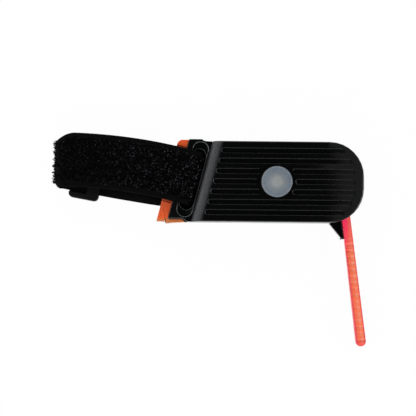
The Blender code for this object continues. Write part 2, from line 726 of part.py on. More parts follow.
def build_release():
    pivot = axis_empty("rocker_axis", (ROCKER_X, ROCKER_Y, Z_ROCKER))
    press = Z_ROOF - GAP - 1.0 * MM - GAP - Z_ROCKER
    lift = Z_FLANGE + HOLD_TOOTH - Z_ROCKER
    left = 2.6 * MM - ROCKER_X
    right = LEAF_X - 0.2 * MM - ROCKER_X
    relief = press - BUTTON_TRAVEL / 2
    side = [
        (left, press - 1.2 * MM),
        (-2.6 * MM, -1.9 * MM),
        (2.2 * MM, -1.9 * MM),
        (right, lift - 1.7 * MM),
        (right, lift),
        (right - 2.0 * MM, lift),
        (1.6 * MM, 1.7 * MM),
        (-2.2 * MM, 1.7 * MM),
        (-3.6 * MM, relief),
        (left + 2.6 * MM, relief),
        (left + 2.0 * MM, press),
        (left, press),
    ]
    shape = along_y(prism(side, -1.2 * MM, 1.2 * MM), 0, 0, 0)
    rocker = place("release_rocker", shape, "grey_nylon", pivot)
    hole = disc(0, 0, 1.0 * MM + GAP, -3 * MM, 3 * MM, 16)
    cut(rocker, along_y(hole, 0, 0, 0))
    pin = disc(0, 0, 1.0 * MM, -3.1 * MM, 3.1 * MM, 12)
    place("rocker_pin", along_y(pin, ROCKER_X, ROCKER_Y, Z_ROCKER), "steel")

    thick = 0.5 * MM
    flat = Z_FLANGE + HOLD_TOOTH + 0.3 * MM
    tip = Z_FLANGE + 0.35 * MM
    bend = -(FLANGE_RADIUS - 2 * MM) * math.tau / HOLD_TEETH - 0.6 * MM
    ends = -0.35 * MM
    back = POST[1] - 2.6 * MM
    side = [(back, flat), (bend, flat), (ends, tip), (ends, tip + thick), (bend, flat + thick)]
    side.append((back, flat + thick))
    strip = prism(side, -2 * MM, 2 * MM)
    stand = Matrix(((0, 0, 1, LEAF_X), (1, 0, 0, 0), (0, 1, 0, 0), (0, 0, 0, 1)))
    leaf = place("pawl_leaf", moved(strip, stand), "steel")
    cut(leaf, disc(POST[0], POST[1], 1.1 * MM, flat - 1 * MM, flat + 2 * MM, 16))


# Reel and carriage


def crown(inner, outer, base, low, high, count):
    """A ring of saw teeth on a flat base, each rising with the angle and then dropping."""
    shape = bmesh.new()
    rows = []
    for i in range(count):
        turn = math.pi + math.tau * i / count
        row = []
        for radius in (inner, outer):
            x, y = radius * math.cos(turn), radius * math.sin(turn)
            row.append([shape.verts.new((x, y, z)) for z in (base, low, high)])
        rows.append(row)
    for i in range(count):
        (b0, l0, h0), (b1, l1, h1) = rows[i]
        (b2, l2, h2), (b3, l3, h3) = rows[(i + 1) % count]
        shape.faces.new((b0, l0, h2, l2, b2))
        shape.faces.new((b1, b3, l3, h3, l1))
        shape.faces.new((b0, b2, b3, b1))
        shape.faces.new((l0, l1, h3, h2))
        shape.faces.new((l0, h0, h1, l1))
    bmesh.ops.recalc_face_normals(shape, faces=shape.faces[:])
    return shape


def ratchet_outline(radius, depth, count):
    """Saw teeth round a wheel. Each rises with the angle and then drops straight in."""
    points = []
    for i in range(count):
        turn = math.tau * i / count
        points.append((radius * math.cos(turn), radius * math.sin(turn)))
        points.append(((radius - depth) * math.cos(turn), (radius - depth) * math.sin(turn)))
    return points


def build_reel():
    pivot = axis_empty("reel_axis", (REEL_X, 0, 0))
    bore = AXLE_RADIUS + GAP
    shoulder = Z_FLOOR - GAP - 0.1 * MM
    top = Z_FLANGE + HOLD_TOOTH + 0.8 * MM
    profile = [
        (bore, shoulder),
        (NECK_RADIUS, shoulder),
        (NECK_RADIUS, Z_REEL),
        (FLANGE_RADIUS, Z_REEL),
        (FLANGE_RADIUS, Z_REEL + 1.2 * MM),
        (DRUM_RADIUS, Z_REEL + 1.2 * MM),
        (DRUM_RADIUS, Z_FLANGE - 1.5 * MM),
        (FLANGE_RADIUS, Z_FLANGE - 1.5 * MM),
        (FLANGE_RADIUS, Z_FLANGE),
        (COLLAR_RADIUS, Z_FLANGE),
        (COLLAR_RADIUS, top),
        (bore, top),
    ]
    reel = place("reel", turned(profile, 36), "grey_nylon", pivot)
    inner = FLANGE_RADIUS - 4 * MM
    high = Z_FLANGE + HOLD_TOOTH
    teeth = crown(inner, FLANGE_RADIUS - 0.2 * MM, Z_FLANGE - 0.5 * MM, Z_FLANGE, high, HOLD_TEETH)
    fuse(reel, teeth)
    low = Z_LEVER + HUB_FLOOR + GAP
    hexagon = arc((0, 0), DRIVE_SOCKET - 0.4 * MM, 0, 300, 5)
    fuse(reel, prism(hexagon, low, shoulder + 0.4 * MM))
    cut(reel, disc(0, 0, bore, low - 1 * MM, top + 1 * MM, 36))

    wheel = ratchet_outline(DRIVE_RADIUS, DRIVE_TOOTH, DRIVE_TEETH)
    ratchet = place("drive_ratchet", prism(wheel, low, shoulder - GAP), "steel", pivot)
    cut(ratchet, prism(arc((0, 0), DRIVE_SOCKET, 0, 300, 5), low - 1 * MM, shoulder + 1 * MM))


def build_carriage():
    pivot = axis_empty("carriage_axis", (ROD_X, 0, 0))
    face = LOOP_RADIUS + STRAP_THICK / 2 + 0.6 * MM
    back = face + 4 * MM
    low = Z_REEL
    high = Z_ROD + 2.6 * MM
    half = HALF - WALL - 0.5 * MM
    inside = STRAP_WIDTH / 2 + 0.5 * MM
    frame = place("carriage", box(-3 * MM, back, -half, half, low, high), "grey_nylon", pivot)
    cut(frame, box(-5 * MM, face, -inside, inside, low - 1 * MM, high + 1 * MM))
    rod_hole = disc(0, 0, ROD_RADIUS + GAP, -half + 1 * MM, half - 1 * MM, 16)
    tools = [along_y(rod_hole, 0, 0, Z_ROD)]
    bore = disc(0, 0, CORD_RADIUS + GAP, -6 * MM, 6 * MM, 12)
    tools.append(along_x(bore, back, CORD_Y, Z_CORD))
    cut(frame, merged(*tools))
    seat = disc(0, 0, 2.0 * MM, -2.4 * MM, 2.4 * MM, 16)
    cut(frame, along_x(seat, face, CORD_Y, Z_CORD))
    rod = disc(0, 0, ROD_RADIUS, -half + 1.3 * MM, half - 1.3 * MM, 16)
    place("strap_bar", along_y(rod, 0, 0, Z_ROD), "steel", pivot)
    ring = [
        (CORD_RADIUS + GAP, 0),
        (1.7 * MM, 0),
        (1.7 * MM, 1.9 * MM),
        (CORD_RADIUS + GAP, 1.9 * MM),
    ]
    stop = along_x(turned(ring, 16), face + 0.2 * MM, CORD_Y, Z_CORD)
    place("cord_stop", stop, "steel", pivot)

    cord = bpy.data.curves.new("tension_cord", "CURVE")
    cord.dimensions = "3D"
    cord.bevel_depth = CORD_RADIUS
    cord.bevel_resolution = 1
    cord.use_fill_caps = True
    route = [Vector((ROD_X + face + 0.3 * MM, CORD_Y, Z_CORD))]
    route.append(Vector((REEL_X - 2 * MM, CORD_Y, Z_CORD)))
    steps = 24
    for i in range(steps + 1):
        gone = CORD_TURNS * i / steps
        turn = math.pi / 2 - math.tau * gone
        x, y = REEL_X + CORD_Y * math.cos(turn), CORD_Y * math.sin(turn)
        route.append(Vector((x, y, Z_CORD - CORD_PITCH * gone)))
    line = cord.splines.new("POLY")
    line.points.add(len(route) - 1)
    for point, spot in zip(line.points, route):
        point.co = (*spot, 1)
    cord.materials.append(finish("cord"))
    item = bpy.data.objects.new("tension_cord", cord)
    bpy.context.scene.collection.objects.link(item)


# Lever


def build_lever():
    pivot = axis_empty("lever_axis", (REEL_X, 0, 0), LEVER_ANGLE)
    high = Z_LEVER + LEVER_THICK
    side = GRIP_OFFSET - GRIP_TIP_WIDTH / 2 - 0.1 * MM
    reach = math.hypot(ARM_REACH, side)
    leave = math.degrees(math.atan2(side, ARM_REACH) - math.acos(HUB_RADIUS / reach)) + 360
    start = math.degrees(math.asin(side / HUB_RADIUS))
    plan = arc((0, 0), HUB_RADIUS, start, leave, 28)
    plan.append((ARM_REACH, side - 1.2 * MM))
    plan.append((ARM_REACH, side))
    hub = place("lever_hub", prism(plan, Z_LEVER, high), "black_plastic", pivot)
    ledge_side = GRIP_OFFSET + 0.9 * MM
    ledge = box(GRIP_START - 1 * MM, ARM_REACH, side - 2 * MM, ledge_side, Z_LEVER, Z_LEVER + 1.6 * MM)
    fuse(hub, ledge)
    cut(hub, disc(0, 0, HUB_CAVITY, Z_LEVER + HUB_FLOOR, high + 1 * MM, 36))
    pin_at = pawl_pin()
    holes = [disc(0, 0, AXLE_RADIUS + GAP, Z_LEVER - 1 * MM, high, 20)]
    holes.append(disc(pin_at.x, pin_at.y, 1.1 * MM, Z_LEVER + 0.5 * MM, high, 16))
    rivets = [(GRIP_START + 3 * MM, GRIP_OFFSET - 1 * MM), (GRIP_START + 9 * MM, GRIP_OFFSET - 1 * MM)]
    for x, y in rivets:
        holes.append(disc(x, y, 1.2 * MM, Z_LEVER - 1 * MM, Z_LEVER + 3 * MM, 16))
    cut(hub, merged(*holes))

    root = GRIP_ROOT_WIDTH / 2
    tip = GRIP_TIP_WIDTH / 2
    end = GRIP_REACH - tip
    plan = [(GRIP_START, GRIP_OFFSET - root)]
    plan += [(end + x, GRIP_OFFSET + y) for x, y in arc((0, 0), tip, -90, 90, 8)]
    plan.append((GRIP_START, GRIP_OFFSET + root))
    grip = place("lever_grip", prism(plan, Z_LEVER, high), "red_clear", pivot)
    ribs = []
    first = end - RIB_PITCH * (RIB_COUNT - 1) - 1 * MM
    for i in range(RIB_COUNT):
        at = first + i * RIB_PITCH
        tool = along_y(disc(0, 0, 1.1 * MM, -6 * MM, 6 * MM, 10), at, GRIP_OFFSET, high + 0.5 * MM)
        ribs.append(tool)
    cut(grip, merged(*ribs))
    over = ledge_side + GAP
    notch = box(
        GRIP_START - 1 * MM,
        ARM_REACH + GAP,
        GRIP_OFFSET - 5 * MM,
        over,
        Z_LEVER - 1 * MM,
        Z_LEVER + 1.6 * MM + GAP,
    )
    cut(grip, notch)
    cut(grip, merged(*[disc(x, y, 1.2 * MM, Z_LEVER, Z_LEVER + 4.5 * MM, 16) for x, y in rivets]))
    for i, (x, y) in enumerate(rivets, 1):
        pin = disc(x, y, 0.9 * MM, Z_LEVER, Z_LEVER + 4.2 * MM, 12)
        place(f"grip_rivet_{i}", pin, "steel", pivot)


def pawl_frame():
    """The tooth that the drive pawl leans on: its root, its run and its way out."""
    turn = math.tau * PAWL_TOOTH / DRIVE_TEETH - LEVER_ANGLE
    out = Vector((math.cos(turn), math.sin(turn), 0))
    run = Vector((-math.sin(turn), math.cos(turn), 0))
    return out * (DRIVE_RADIUS - DRIVE_TOOTH), run, out


def pawl_pin():
    """Where the drive pawl's pin stands, in the lever's own frame."""
    foot, run, out = pawl_frame()
    return foot + run * PAWL_REACH + out * PAWL_RISE


def build_drive_pawl():
    lever = bpy.data.objects["lever_axis"]
    foot, run, out = pawl_frame()
    at = pawl_pin()
    pivot = axis_empty("drive_pawl_axis", (at.x, at.y, 0))
    pivot.parent = lever
    low = Z_LEVER + HUB_FLOOR + GAP
    high = Z_FLOOR - GAP - 0.7 * MM

    def spots(points, origin):
        found = [foot + run * along + out * away - origin for along, away in points]
        return [(spot.x, spot.y) for spot in found]

    boss = 1.7 * MM
    side = [(GAP, 0.4 * MM), (PAWL_REACH * 0.55, 0.95 * MM)]
    side += arc((PAWL_REACH, PAWL_RISE), boss, -100, 100, 8)
    side.append((GAP, 1.6 * MM))
    pawl = place("drive_pawl", prism(spots(side, at), low, high), "steel", pivot)
    cut(pawl, disc(0, 0, 1.1 * MM, low - 1 * MM, high + 1 * MM, 16))
    place("drive_pawl_pin", disc(at.x, at.y, 0.8 * MM, Z_LEVER + 0.8 * MM, high, 12), "steel", lever)
    wall = HUB_CAVITY - DRIVE_RADIUS + DRIVE_TOOTH
    strip = [(-2.6 * MM, wall - 0.8 * MM), (1.5 * MM, 2.4 * MM), (1.9 * MM, 2.55 * MM)]
    strip.append((-2.1 * MM, wall - 0.7 * MM))
    spring = prism(spots(strip, Vector()), low, low + 2.4 * MM)
    place("drive_pawl_spring", spring, "steel", lever)


# Strap and keeper


def smooth(value):
    value = min(1.0, max(0.0, value))
    return value * value * (3 - 2 * value)


WRAP_X = slanted(SLOT_X, WRAP_Y)
FOLD_X = WRAP_X - STRAP_LENGTH_OUT
KEEPER_X = FOLD_X + KEEPER_SETBACK


def front_y(x):
    """Middle of the front band in plan."""
    run = (WRAP_X - x) / MM
    return (WRAP_Y / MM + 0.275 * run - 0.001519 * run * run) * MM


def return_y(x):
    """Middle of the return band in plan: straight outside, drawn in line inside."""
    run = max(0.0, ROD_X - 10 * MM - x) / MM
    knee = 42.0
    slope = 0.182
    if run < knee:
        return run * run * slope / (2 * knee) * MM
    return (knee * slope / 2 + slope * (run - knee)) * MM


def lean(middle, x):
    """How far a band's middle line leans from X at x."""
    return (middle(x - MM) - middle(x + MM)) / (2 * MM)


def front_z(x):
    return Z_FRONT - STRAP_DROP * smooth((PLATE_X - x) / (60 * MM))


def tail_z(x):
    apart = STRAP_THICK + 0.35 * MM
    near = Z_FRONT - Z_TAIL - apart
    return front_z(x) - apart - near * (1 - smooth((PLATE_X - 1 * MM - x) / (16 * MM)))


def return_z(x):
    start = PLATE_X - 48 * MM
    stop = PLATE_X - LIP_RUN - 3.5 * MM
    return STRAP_LOW + (Z_STRAP_IN - STRAP_LOW) * smooth((x - start) / (stop - start))


def strap_route():
    """Points along the middle of the strap, from its tail end to the carriage.

    Each comes with the lean of the band there.
    """
    route = []
    steps = 12
    for i in range(steps):
        x = WRAP_X - TAIL_LENGTH * (1 - i / steps)
        route.append((Vector((x, front_y(x), tail_z(x))), lean(front_y, x)))
    radius = (Z_FRONT - Z_TAIL) / 2
    middle = Vector((WRAP_X, WRAP_Y, (Z_FRONT + Z_TAIL) / 2))
    right = Vector((math.cos(SLANT), -math.sin(SLANT), 0))
    for x, z in arc((0, 0), radius, -90, 90, 8):
        route.append((middle + right * x + Vector((0, 0, z)), math.tan(SLANT)))
    steps = 16
    for i in range(1, steps):
        x = WRAP_X - STRAP_LENGTH_OUT * i / steps
        route.append((Vector((x, front_y(x), front_z(x))), lean(front_y, x)))
    high, low = front_z(FOLD_X), return_z(FOLD_X)
    radius = (high - low) / 2
    steps = 10
    for i, (x, z) in enumerate(arc((0, 0), radius, 90, 270, steps)):
        part = smooth(2 * i / steps - 1)
        y = front_y(FOLD_X) * (1 - part) + return_y(FOLD_X) * part
        slope = lean(front_y, FOLD_X) * (1 - part) + lean(return_y, FOLD_X) * part
        route.append((Vector((FOLD_X + x, y, (high + low) / 2 + z)), slope))
    steps = 22
    for i in range(1, steps):
        x = FOLD_X + (ROD_X - FOLD_X) * i / steps
        route.append((Vector((x, return_y(x), return_z(x))), lean(return_y, x)))
    for x, z in arc((0, 0), LOOP_RADIUS, -90, 190, 12):
        route.append((Vector((ROD_X + x, return_y(ROD_X), Z_ROD + z)), 0.0))
    return route


def build_strap():
    route = strap_route()
    shape = bmesh.new()
    rings = []
    for i, (spot, slope) in enumerate(route):
        before = route[max(0, i - 1)][0]
        after = route[min(len(route) - 1, i + 1)][0]
        ahead = (after - before).normalized()
        across = Vector((slope, 1, 0)).normalized()
        up = ahead.cross(across).normalized()
        half = across * STRAP_WIDTH / 2
        thick = up * STRAP_THICK / 2
        corners = (spot - half - thick, spot + half - thick, spot + half + thick, spot - half + thick)
        rings.append([shape.verts.new(corner) for corner in corners])
    for one, two in zip(rings, rings[1:]):
        for k in range(4):
            n = (k + 1) % 4
            shape.faces.new((one[k], one[n], two[n], two[k]))
    shape.faces.new(rings[0])
    shape.faces.new(rings[-1])
    bmesh.ops.recalc_face_normals(shape, faces=shape.faces[:])
    place("strap", shape, "webbing")


def build_keeper():
    slope = math.atan(lean(return_y, KEEPER_X))
    pivot = axis_empty("keeper_axis", (KEEPER_X, return_y(KEEPER_X), 0), -slope)
    half = KEEPER_LENGTH / 2
    plan = rounded(-half, half, -KEEPER_HALF, KEEPER_HALF - KEEPER_SHORT, 3.0 * MM)
    shape = prism(plan, 0, KEEPER_HEIGHT)
    rims = edges_where(shape, lambda co: co.z > KEEPER_HEIGHT - 1e-6)
    rims += edges_where(shape, lambda co: co.z < 1e-6)
    softened(shape, rims, 0.8 * MM)
    keeper = place("keeper", shape, "black_plastic", pivot)
    reach = STRAP_WIDTH / 2 + 0.8 * MM
    low = STRAP_LOW - STRAP_THICK / 2 - 0.4 * MM
    high = STRAP_LOW + STRAP_THICK / 2 + 0.5 * MM
    cut(keeper, box(-half - 1 * MM, half + 1 * MM, -reach, reach, low, high))
    top = KEEPER_HEIGHT + 1 * MM
    cut(keeper, box(-half - 1 * MM, half - KEEPER_BAR, -reach, reach, low, top))


def shade():
    """Flat faces stay flat and round ones look round."""
    for item in bpy.data.objects:
        if item.type == "MESH" and not item.hide_render:
            item.data.shade_smooth()
            item.data.set_sharp_from_angle(angle=math.radians(35))


clear_scene()
build_front_cover()
build_rear_shell()
build_strap_guide()
build_skin_plate()
build_fasteners()
build_button()
build_release()
build_reel()
build_carriage()
build_lever()
build_drive_pawl()
build_strap()
build_keeper()
shade()
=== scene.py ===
"""Looks of a tourniquet with a folding tightening lever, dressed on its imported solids.

X runs along the body toward its rounded end, Y across it and Z up from the skin plate.
The button's axis is X = Y = 0, and every length is in metres.
"""

import math
import random

import bmesh
import bpy
from bpy.props import FloatProperty, FloatVectorProperty, IntProperty, PointerProperty
from mathutils import Matrix, Quaternion, Vector
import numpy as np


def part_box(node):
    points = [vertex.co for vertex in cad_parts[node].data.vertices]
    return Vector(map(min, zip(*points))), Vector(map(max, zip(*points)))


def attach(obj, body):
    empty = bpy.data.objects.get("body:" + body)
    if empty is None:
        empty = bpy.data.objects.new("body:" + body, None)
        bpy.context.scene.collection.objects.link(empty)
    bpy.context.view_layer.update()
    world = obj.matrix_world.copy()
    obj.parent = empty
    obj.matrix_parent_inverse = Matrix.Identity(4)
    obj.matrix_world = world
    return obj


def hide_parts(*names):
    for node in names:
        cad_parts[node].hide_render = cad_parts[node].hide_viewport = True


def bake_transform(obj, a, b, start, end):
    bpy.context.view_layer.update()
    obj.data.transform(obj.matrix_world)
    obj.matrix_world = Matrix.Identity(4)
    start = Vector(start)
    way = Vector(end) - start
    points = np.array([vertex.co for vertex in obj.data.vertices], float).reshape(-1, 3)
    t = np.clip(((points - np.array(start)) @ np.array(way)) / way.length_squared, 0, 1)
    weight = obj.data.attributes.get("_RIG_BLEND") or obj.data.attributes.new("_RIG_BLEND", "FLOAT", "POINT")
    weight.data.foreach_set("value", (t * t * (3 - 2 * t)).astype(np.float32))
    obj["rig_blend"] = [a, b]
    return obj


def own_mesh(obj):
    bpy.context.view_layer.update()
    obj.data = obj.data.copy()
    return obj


bl_info = {
    "name": "Lever tourniquet",
    "version": (1, 0, 0),
    "blender": (4, 5, 0),
    "location": "3D View > Sidebar > Tourniquet",
    "description": "Dresses the packed tourniquet with its webbing, mouldings and stage",
    "category": "Object",
}

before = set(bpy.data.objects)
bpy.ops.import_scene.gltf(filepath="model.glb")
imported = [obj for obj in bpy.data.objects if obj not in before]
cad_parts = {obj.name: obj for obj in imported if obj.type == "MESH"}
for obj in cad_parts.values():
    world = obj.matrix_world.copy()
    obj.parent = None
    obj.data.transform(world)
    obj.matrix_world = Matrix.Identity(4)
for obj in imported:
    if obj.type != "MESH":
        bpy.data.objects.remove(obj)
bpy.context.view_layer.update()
MM = 0.001

# Strap route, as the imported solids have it
SLANT = math.radians(14.5)
PLATE_X = -67.5 * MM
WRAP = Vector((-57.292, 2.05, 19.3)) * MM
FOLD_X = -144.652 * MM
KEEPER_X = -129.652 * MM
ROD_X = -38.5 * MM
ROD_Z = 15.35 * MM
Z_FRONT = 22.0 * MM
Z_TAIL = 16.6 * MM
Z_LOW = 3.3 * MM
Z_INSIDE = 13.0 * MM
TAIL_LENGTH = 46.8 * MM
LOOP_RADIUS = 2.35 * MM
FOLD_TIP = -152.3 * MM

# Reel, cord and lever
REEL_X = 34 * MM
CORD_Y = 12.05 * MM
CORD_Z = 15.49 * MM
CORD_RADIUS = 0.75 * MM
CORD_TURNS = 1.2
CORD_PITCH = 1.95 * MM
ROCKER_Y = -10.6 * MM
SPRING_WIRE = 0.35 * MM
SPRING_TURNS = 2.5
LEVER_TURN = math.radians(-83)
GRIP_OFFSET = 11.8 * MM
GRIP_HALF = 3.1 * MM
RIB_FIRST = 43.55 * MM
RIB_PITCH = 4.4 * MM

# Slope between the ribbed face and the slot plate
FACE_X = -44.9 * MM
FACE_Z = 25.0 * MM
PLATE_Z = 20.8 * MM


class StrapLooks(bpy.types.PropertyGroup):
    """Sizes of the strap's webbing and pile"""

    width: FloatProperty(
        name="Width", description="Full width of the webbing", default=0.0372, unit="LENGTH"
    )
    selvage: FloatProperty(
        name="Selvage", description="Smooth edge beside the pile", default=0.0032, unit="LENGTH"
    )
    pile_height: FloatProperty(
        name="Pile height", description="How far a loop stands up", default=0.0008, unit="LENGTH"
    )
    yarn: FloatProperty(
        name="Yarn", description="Thickness of the yarn in a loop", default=0.00027, unit="LENGTH"
    )
    spacing: FloatProperty(
        name="Spacing", description="Distance between two loops", default=0.00105, unit="LENGTH"
    )
    seed: IntProperty(name="Seed", description="Starts the scatter of the loops", default=7)


class FinishColours(bpy.types.PropertyGroup):
    """Colours of the finishes"""

    body: FloatVectorProperty(
        name="Body", description="Moulded black", subtype="COLOR", size=4, min=0, max=1,
        default=(0.0019, 0.0021, 0.0022, 1),
    )
    strap: FloatVectorProperty(
        name="Strap", description="Webbing", subtype="COLOR", size=4, min=0, max=1,
        default=(0.0007, 0.0007, 0.0008, 1),
    )
    # Pile: pale colour of the painted glints on the loops' tops.
    pile: FloatVectorProperty(
        name="Pile", description="Palest yarn of the pile", subtype="COLOR", size=4, min=0, max=1,
        default=(0.078, 0.081, 0.092, 1),
    )
    guide: FloatVectorProperty(
        name="Guide", description="Orange mouth", subtype="COLOR", size=4, min=0, max=1,
        default=(0.80, 0.102, 0.016, 1),
    )
    grip: FloatVectorProperty(
        name="Grip", description="See-through bar", subtype="COLOR", size=4, min=0, max=1,
        default=(1.0, 0.185, 0.082, 1),
    )
    # Grip root: the deep red of the bar's painted shade at its sides and tip, and of its root.
    grip_root: FloatVectorProperty(
        name="Grip root", description="Deeper red at the bar's ends", subtype="COLOR", size=4,
        min=0, max=1, default=(1.0, 0.045, 0.125, 1),
    )
    button: FloatVectorProperty(
        name="Button", description="Frosted rim of the button", subtype="COLOR", size=4,
        min=0, max=1, default=(0.122, 0.156, 0.194, 1),
    )
    button_middle: FloatVectorProperty(
        name="Button middle", description="Light behind the button", subtype="COLOR", size=4,
        min=0, max=1, default=(0.238, 0.252, 0.262, 1),
    )


class StageLooks(bpy.types.PropertyGroup):
    """Camera and lamps"""

    elevation: FloatProperty(
        name="Elevation", description="Camera above the horizon", default=math.radians(86.5),
        subtype="ANGLE",
    )
    roll: FloatProperty(
        name="Roll", description="Camera turned on its axis", default=math.radians(0.55),
        subtype="ANGLE",
    )
    distance: FloatProperty(
        name="Distance", description="Camera to the object", default=1.0, unit="LENGTH"
    )
    view_width: FloatProperty(
        name="View width", description="Width of what the camera sees", default=0.28288,
        unit="LENGTH",
    )
    lamp_power: FloatProperty(
        name="Lamp power", description="Power of one soft lamp", default=1.6, unit="POWER"
    )


# Finishes


def add(tree, kind, inputs=None, **settings):
    """A node with its settings, its plain values and its links."""
    node = tree.nodes.new(kind)
    for name, value in settings.items():
        setattr(node, name, value)
    for name, value in (inputs or {}).items():
        if isinstance(value, bpy.types.NodeSocket):
            tree.links.new(value, node.inputs[name])
        else:
            node.inputs[name].default_value = value
    return node


def mixed(tree, factor, one, two, blend="MIX"):
    """Colour between two others, as an output socket."""
    inputs = {0: factor, 6: one, 7: two}
    return add(tree, "ShaderNodeMix", inputs, data_type="RGBA", blend_type=blend).outputs[2]


def ranged(tree, value, low, high, to_low, to_high):
    inputs = {0: value, 1: low, 2: high, 3: to_low, 4: to_high}
    return add(tree, "ShaderNodeMapRange", inputs).outputs[0]


def times(tree, one, two):
    return add(tree, "ShaderNodeMath", {0: one, 1: two}, operation="MULTIPLY").outputs[0]


def new_group(name, inputs, outputs):
    """An empty shader group with its sockets, its input node and its output node."""
    tree = bpy.data.node_groups.new(name, "ShaderNodeTree")
    for label, value in inputs.items():
        socket = tree.interface.new_socket(label, in_out="INPUT", socket_type="NodeSocketFloat")
        socket.default_value = value
    for label in outputs:
        tree.interface.new_socket(label, in_out="OUTPUT", socket_type="NodeSocketFloat")
    return tree, tree.nodes.new("NodeGroupInput"), tree.nodes.new("NodeGroupOutput")


def moulded_grain():
    """Fine spark-eroded grain and the broad unevenness of a moulding."""
    found = bpy.data.node_groups.get("Moulded grain")
    if found:
        return found
    tree, start, end = new_group(
        "Moulded grain", {"Grain": 2500.0, "Marks": 60.0}, ("Height", "Cloud")
    )
    place = add(tree, "ShaderNodeTexCoord").outputs["Object"]
    fine = add(
        tree, "ShaderNodeTexNoise",
        {"Vector": place, "Scale": start.outputs["Grain"], "Detail": 3.0, "Roughness": 0.6},
    )
    broad = add(
        tree, "ShaderNodeTexNoise",
        {"Vector": place, "Scale": start.outputs["Marks"], "Detail": 4.0, "Roughness": 0.55},
    )
    tree.links.new(fine.outputs[0], end.inputs["Height"])
    tree.links.new(ranged(tree, broad.outputs[0], 0.35, 0.68, 0.0, 1.0), end.inputs["Cloud"])
    return tree


def edge_wear_and_highlight():
    """Patchy rub marks on the faces that an eased edge left behind, which also paint part of the edge's
    highlight; rub levels above 1 give a pale painted highlight.
    """
    found = bpy.data.node_groups.get("Edge wear and highlight")
    if found:
        return found
    tree, start, end = new_group("Edge wear and highlight", {"Amount": 0.5}, ("Mask", "Painted highlight"))
    place = add(tree, "ShaderNodeTexCoord").outputs["Object"]
    rub_and_highlight = add(tree, "ShaderNodeAttribute", attribute_name="rub_and_highlight").outputs["Fac"]
    patch = add(tree, "ShaderNodeTexNoise", {"Vector": place, "Scale": 220.0, "Detail": 3.0})
    worn_and_lit = ranged(tree, patch.outputs[0], 0.38, 0.66, 0.25, 1.0)
    mask = times(tree, times(tree, rub_and_highlight, worn_and_lit), start.outputs["Amount"])
    tree.links.new(mask, end.inputs["Mask"])
    tree.links.new(ranged(tree, rub_and_highlight, 1.0, 4.0, 0.0, 1.0), end.inputs["Painted highlight"])
    return tree


def slope_sheen():
    """Where the painted sheen of the grained slope lies, fading out toward the ribbed face."""
    found = bpy.data.node_groups.get("Slope sheen")
    if found:
        return found
    tree, start, end = new_group("Slope sheen", {"Grit": 1300.0}, ("Mask", "Speck"))
    place = add(tree, "ShaderNodeTexCoord").outputs["Object"]
    split = add(tree, "ShaderNodeSeparateXYZ", {0: place})
    shift = times(tree, split.outputs[1], math.tan(SLANT))
    square = add(tree, "ShaderNodeMath", {0: split.outputs[0], 1: shift}, operation="SUBTRACT")
    fade = ranged(tree, square.outputs[0], FACE_X - 0.8 * MM, FACE_X + 1.7 * MM, 1.0, 0.0)
    matte = add(tree, "ShaderNodeAttribute", attribute_name="matte").outputs["Fac"]
    tree.links.new(times(tree, matte, fade), end.inputs["Mask"])
    speck = add(
        tree, "ShaderNodeTexNoise",
        {"Vector": place, "Scale": start.outputs["Grit"], "Detail": 2.0, "Roughness": 0.7},
    ).outputs[0]
    tree.links.new(ranged(tree, speck, 0.36, 0.68, 0.0, 1.0), end.inputs["Speck"])
    return tree


def webbing_weave():
    """Rows of warp and weft on the webbing's own map, which is in metres."""
    found = bpy.data.node_groups.get("Webbing weave")
    if found:
        return found
    tree, start, end = new_group(
        "Webbing weave", {"Warp": 900.0, "Weft": 620.0}, ("Height", "Thread")
    )
    spot = add(tree, "ShaderNodeUVMap", uv_map="weave").outputs[0]
    split = add(tree, "ShaderNodeSeparateXYZ", {0: spot})
    along = add(
        tree, "ShaderNodeMath", {0: times(tree, split.outputs[0], start.outputs["Weft"])},
        operation="SINE",
    ).outputs[0]
    phase = add(
        tree, "ShaderNodeMath",
        {0: times(tree, split.outputs[1], start.outputs["Warp"]), 1: times(tree, along, 1.4)},
        operation="ADD",
    ).outputs[0]
    across = add(tree, "ShaderNodeMath", {0: phase}, operation="SINE").outputs[0]
    both = add(
        tree, "ShaderNodeMath", {0: times(tree, along, across), 1: across}, operation="ADD"
    ).outputs[0]
    noise = add(
        tree, "ShaderNodeTexNoise", {"Vector": spot, "Scale": 1700.0, "Detail": 3.0}
    ).outputs[0]
    height = add(tree, "ShaderNodeMath", {0: both, 1: noise}, operation="ADD").outputs[0]
    tree.links.new(ranged(tree, height, -1.5, 2.6, 0.0, 1.0), end.inputs["Height"])
    tree.links.new(ranged(tree, noise, 0.35, 0.7, 0.0, 1.0), end.inputs["Thread"])
    return tree


def blank(name):
    """A new material with its tree and its shader."""
    made = bpy.data.materials.new(name)
    made.use_nodes = True
    tree = made.node_tree
    return made, tree, tree.nodes["Principled BSDF"]


def shaded(colour, factor):
    return tuple(min(1.0, part * factor) for part in colour[:3]) + (1.0,)


def plain(shader, values):
    """Sets values that are the same all over on the shader's own sockets."""
    for name, value in values.items():
        shader.inputs[name].default_value = value


